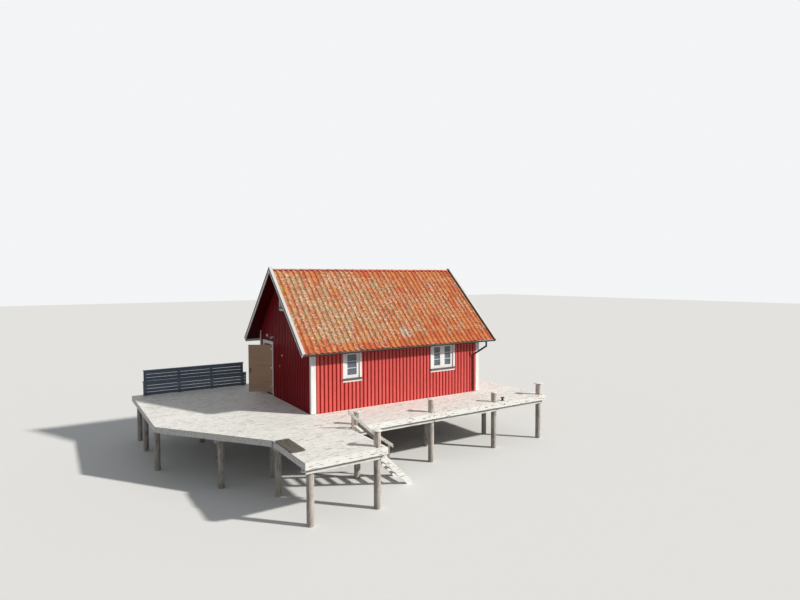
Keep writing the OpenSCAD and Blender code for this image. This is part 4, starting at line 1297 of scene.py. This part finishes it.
class BOATHOUSE_OT_handrail(bpy.types.Operator):
    """Planes the two boards of the handrail and the board below them, which is near-black as painted shade"""

    bl_idname = "boathouse.handrail"
    bl_label = "Plane Handrail"

    def execute(self, context):
        dice = random.Random(91)
        light, old = bmesh.new(), bmesh.new()
        for number, points in enumerate(solids(NODES["handrail"].data)):
            xs, ys = [v.x for v in points], [v.y for v in points]
            ends = {}
            for x in (min(xs), max(xs)):
                heights = [v.z for v in points if abs(v.x - x) < 0.001]
                ends[x] = (min(heights), max(heights))
            part = box((min(xs), min(ys), 0.0), (max(xs), max(ys), 1.0))
            for vert in part.verts:
                low, high = ends[min(ends, key=lambda x: abs(x - vert.co.x))]
                vert.co.z = high if vert.co.z > 0.5 else low
            chamfer(part, part.edges[:], 0.005, 2)
            # The second solid is the board under the rails, painted near-black as painted shade
            join(old if number == 1 else light, part, dice.random())
        piece("rail_boards", light, "rail_wood", replaces=["handrail"])
        piece("rail_old_board", old, "old_wood")
        return {"FINISHED"}


# Fittings


# Bolts of the jetty's rim, along X in the house's own frame, and their height from the deck's top
RIM_BOLTS, RIM_BOLT_Z = (2.88, 3.8, 4.34, 6.3, 7.25), -0.085
# The bearers that stand in pairs at the piles are thinner than this
PAIRED_BEARER = 0.06
# The two bolts of a bearer, from the middle of the pile and of the bearer
BEARER_BOLTS = ((-0.035, 0.035), (0.035, -0.035))


def bolt(bm, spot, facing):
    """A washer with a hexagon nut on it, standing out along the turned Z."""
    for size, depth, count in ((0.02, 0.004, 20), (0.013, 0.012, 6)):
        place = Matrix.Translation(spot) @ facing @ move(0, 0, depth / 2)
        join(bm, cone(count, size, size, depth), place=place)


class BOATHOUSE_OT_bolts(bpy.types.Operator):
    """Bolts the paired bearers to their piles and the rim board to the jetty"""

    bl_idname = "boathouse.bolts"
    bl_label = "Bolt Bearers"

    def execute(self, context):
        bm = bmesh.new()
        piles = pile_spots()
        for lo, hi in islands("deck_bearers"):
            if hi.y - lo.y > PAIRED_BEARER:
                continue
            for centre, radius in piles:
                x, y = centre + ORIGIN.xy
                middle = (lo.y + hi.y) / 2
                if not lo.x < x < hi.x or abs(middle - y) > radius + 0.05:
                    continue
                side = 1 if middle > y else -1
                for dx, dz in BEARER_BOLTS:
                    spot = (x + dx, hi.y if side > 0 else lo.y, (lo.z + hi.z) / 2 + dz)
                    bolt(bm, spot, turn(-side * QUARTER, "X"))
        edge_y = local_box("jetty_planks")[0].y
        for x in RIM_BOLTS:
            bolt(bm, ORIGIN + Vector((x, edge_y, RIM_BOLT_Z)), turn(QUARTER, "X"))
        piece("bearer_bolts", bm, "nail_steel", smooth=40)
        return {"FINISHED"}


# Round lamps as (y, z, radius, depth), and the height and place of the spot lamp, in the house's own frame
ROUND_LAMPS = ((4.6, 2.48, 0.073, 0.075), (2.87, 1.815, 0.044, 0.05))
SPOT_Y, SPOT_Z = 3.73, 2.49


class BOATHOUSE_OT_lamps(bpy.types.Operator):
    """Fits the three lamps of the door gable"""

    bl_idname = "boathouse.lamps"
    bl_label = "Fit Lamps"

    def execute(self, context):
        out_of_wall = turn(-QUARTER, "Y")
        bm = bmesh.new()
        for y, z, radius, depth in ROUND_LAMPS:
            place = AT_HOUSE @ move(WALL_FACE, y, z) @ out_of_wall
            join(bm, turned([(radius, 0.0), (radius, 0.02), (radius * 0.9, 0.026)]), place=place)
            glass = radius * 0.88
            arc = [k * QUARTER / 7 for k in range(8)]
            dome = [(glass * math.cos(a), 0.024 + (depth - 0.026) * math.sin(a)) for a in arc]
            join(bm, turned([(glass, 0.02)] + dome), 0.8, place)
        place = AT_HOUSE @ move(WALL_FACE, SPOT_Y, SPOT_Z) @ out_of_wall
        join(bm, turned([(0.038, 0.0), (0.038, 0.014), (0.03, 0.02)]), place=place)
        join(bm, turned([(0.011, 0.018), (0.011, 0.085)]), place=place)
        shell = turned([(0.02, -0.03), (0.031, -0.01), (0.036, 0.03), (0.05, 0.088), (0.046, 0.09)])
        tilted = AT_HOUSE @ move(WALL_FACE - 0.09, SPOT_Y, SPOT_Z) @ turn(math.radians(-115), "Y")
        join(bm, shell, place=tilted)
        piece("wall_lamps", bm, "lamp_shell", replaces=["gable_lamps"], smooth=40)
        return {"FINISHED"}


# Stage


# The camera's place in the house's own frame, and its lens and angles as solved from the photo
CAMERA_PLACE = Vector((-7.928, -18.223, 4.912))
CAMERA_LENS = 24.7455
CAMERA_DOWN, CAMERA_YAW, CAMERA_ROLL = (math.radians(a) for a in (2.28, 57.22, 0.17))
# Where the sun stands: its height and its level direction
SUN_RISE = math.radians(31.5)
SUN_X, SUN_Y = 0.69, -0.724


def seen_directly(tree):
    """1 for camera, mirror and glass rays, 0 for the light that surfaces send each other."""
    rays = add_node(tree, "LightPath").outputs
    fac = rays["Is Camera Ray"]
    for name in ("Is Glossy Ray", "Is Transmission Ray"):
        fac = add_node(tree, "Math", {0: fac, 1: rays[name]}, operation="MAXIMUM").outputs[0]
    return fac


def add_object(scene, name, data):
    obj = bpy.data.objects.new(name, data)
    scene.collection.objects.link(obj)
    return obj


class BOATHOUSE_OT_stage(bpy.types.Operator):
    """Sets the pale floor, the lights and the camera"""

    bl_idname = "boathouse.stage"
    bl_label = "Set Stage"

    def execute(self, context):
        scene = context.scene
        scene.view_settings.view_transform = "Standard"
        bm = bmesh.new()
        bmesh.ops.create_grid(bm, x_segments=1, y_segments=1, size=150.0)
        mesh = mesh_of(bm, "Stage floor")
        # The floor looks pale but sends little light up at the part
        ground = Finish("Pale floor", roughness=0.9, specular=0.0)
        ground.colour(ground.mix(seen_directly(ground.tree), (0.28, 0.28, 0.29), (0.86, 0.86, 0.85)))
        mesh.materials.append(ground.material)
        floor = add_object(scene, "Stage floor", mesh)

        world = bpy.data.worlds.new("Studio")
        scene.world = world
        world.use_nodes = True
        tree = world.node_tree
        tree.nodes.clear()
        # The soft light, and the backdrop that the camera sees
        soft, backdrop = (
            add_node(tree, "Background", {"Color": tint, "Strength": strength}).outputs[0]
            for tint, strength in (((0.92, 0.96, 1.0, 1.0), 0.3), ((0.9, 0.91, 0.92, 1.0), 1.0))
        )
        mix = add_node(tree, "MixShader", {0: seen_directly(tree), 1: soft, 2: backdrop})
        add_node(tree, "OutputWorld", {"Surface": mix.outputs[0]})

        sun = bpy.data.lights.new("Key", "SUN")
        sun.energy = 3.7
        sun.angle = math.radians(2.5)
        sun.color = (1.0, 0.965, 0.91)
        key = add_object(scene, "Key", sun)
        level = math.cos(SUN_RISE)
        key.rotation_mode = "QUATERNION"
        towards = Vector((SUN_X * level, SUN_Y * level, math.sin(SUN_RISE)))
        key.rotation_quaternion = towards.to_track_quat("Z", "Y")

        lens = bpy.data.cameras.new("Camera")
        lens.sensor_width = 36.0
        lens.lens = CAMERA_LENS
        lens.clip_end = 400.0
        camera = add_object(scene, "Camera", lens)
        level = math.cos(CAMERA_DOWN)
        ahead = Vector((math.cos(CAMERA_YAW) * level, math.sin(CAMERA_YAW) * level, -math.sin(CAMERA_DOWN)))
        right = Vector((math.sin(CAMERA_YAW), -math.cos(CAMERA_YAW), 0.0))
        up = right.cross(ahead)
        x_axis = right * math.cos(CAMERA_ROLL) - up * math.sin(CAMERA_ROLL)
        y_axis = right * math.sin(CAMERA_ROLL) + up * math.cos(CAMERA_ROLL)
        m = Matrix((x_axis, y_axis, -ahead)).transposed().to_4x4()
        m.translation = CAMERA_PLACE + ORIGIN
        camera.matrix_world = m
        scene.camera = camera
        return {"FINISHED"}


STEPS = (
    BOATHOUSE_OT_materials,
    BOATHOUSE_OT_finishes,
    BOATHOUSE_OT_tiles,
    BOATHOUSE_OT_ridge,
    BOATHOUSE_OT_verges,
    BOATHOUSE_OT_boards,
    BOATHOUSE_OT_window_bars,
    BOATHOUSE_OT_door,
    BOATHOUSE_OT_decking,
    BOATHOUSE_OT_floor,
    BOATHOUSE_OT_fence,
    BOATHOUSE_OT_treads,
    BOATHOUSE_OT_handrail,
    BOATHOUSE_OT_bolts,
    BOATHOUSE_OT_lamps,
    BOATHOUSE_OT_stage,
)


class BOATHOUSE_PT_panel(bpy.types.Panel):
    """Lists the steps that dress the boathouse"""

    bl_label = "Boathouse"
    bl_idname = "BOATHOUSE_PT_panel"
    bl_space_type = "VIEW_3D"
    bl_region_type = "UI"
    bl_category = "Boathouse"

    def draw(self, context):
        for step in STEPS:
            self.layout.operator(step.bl_idname)
        for group in (context.scene.boathouse_sizes, context.scene.boathouse_colours):
            for name in group.__annotations__:
                self.layout.prop(group, name)


CLASSES = (BoathouseSizes, BoathouseColours, *STEPS, BOATHOUSE_PT_panel)


def register():
    for cls in CLASSES:
        bpy.utils.register_class(cls)
    bpy.types.Scene.boathouse_sizes = PointerProperty(type=BoathouseSizes)
    bpy.types.Scene.boathouse_colours = PointerProperty(type=BoathouseColours)


def unregister():
    del bpy.types.Scene.boathouse_colours
    del bpy.types.Scene.boathouse_sizes
    for cls in reversed(CLASSES):
        bpy.utils.unregister_class(cls)


def main():
    register()
    for step in STEPS:
        group, name = step.bl_idname.split(".")
        getattr(getattr(bpy.ops, group), name)()


if __name__ == "__main__":
    main()
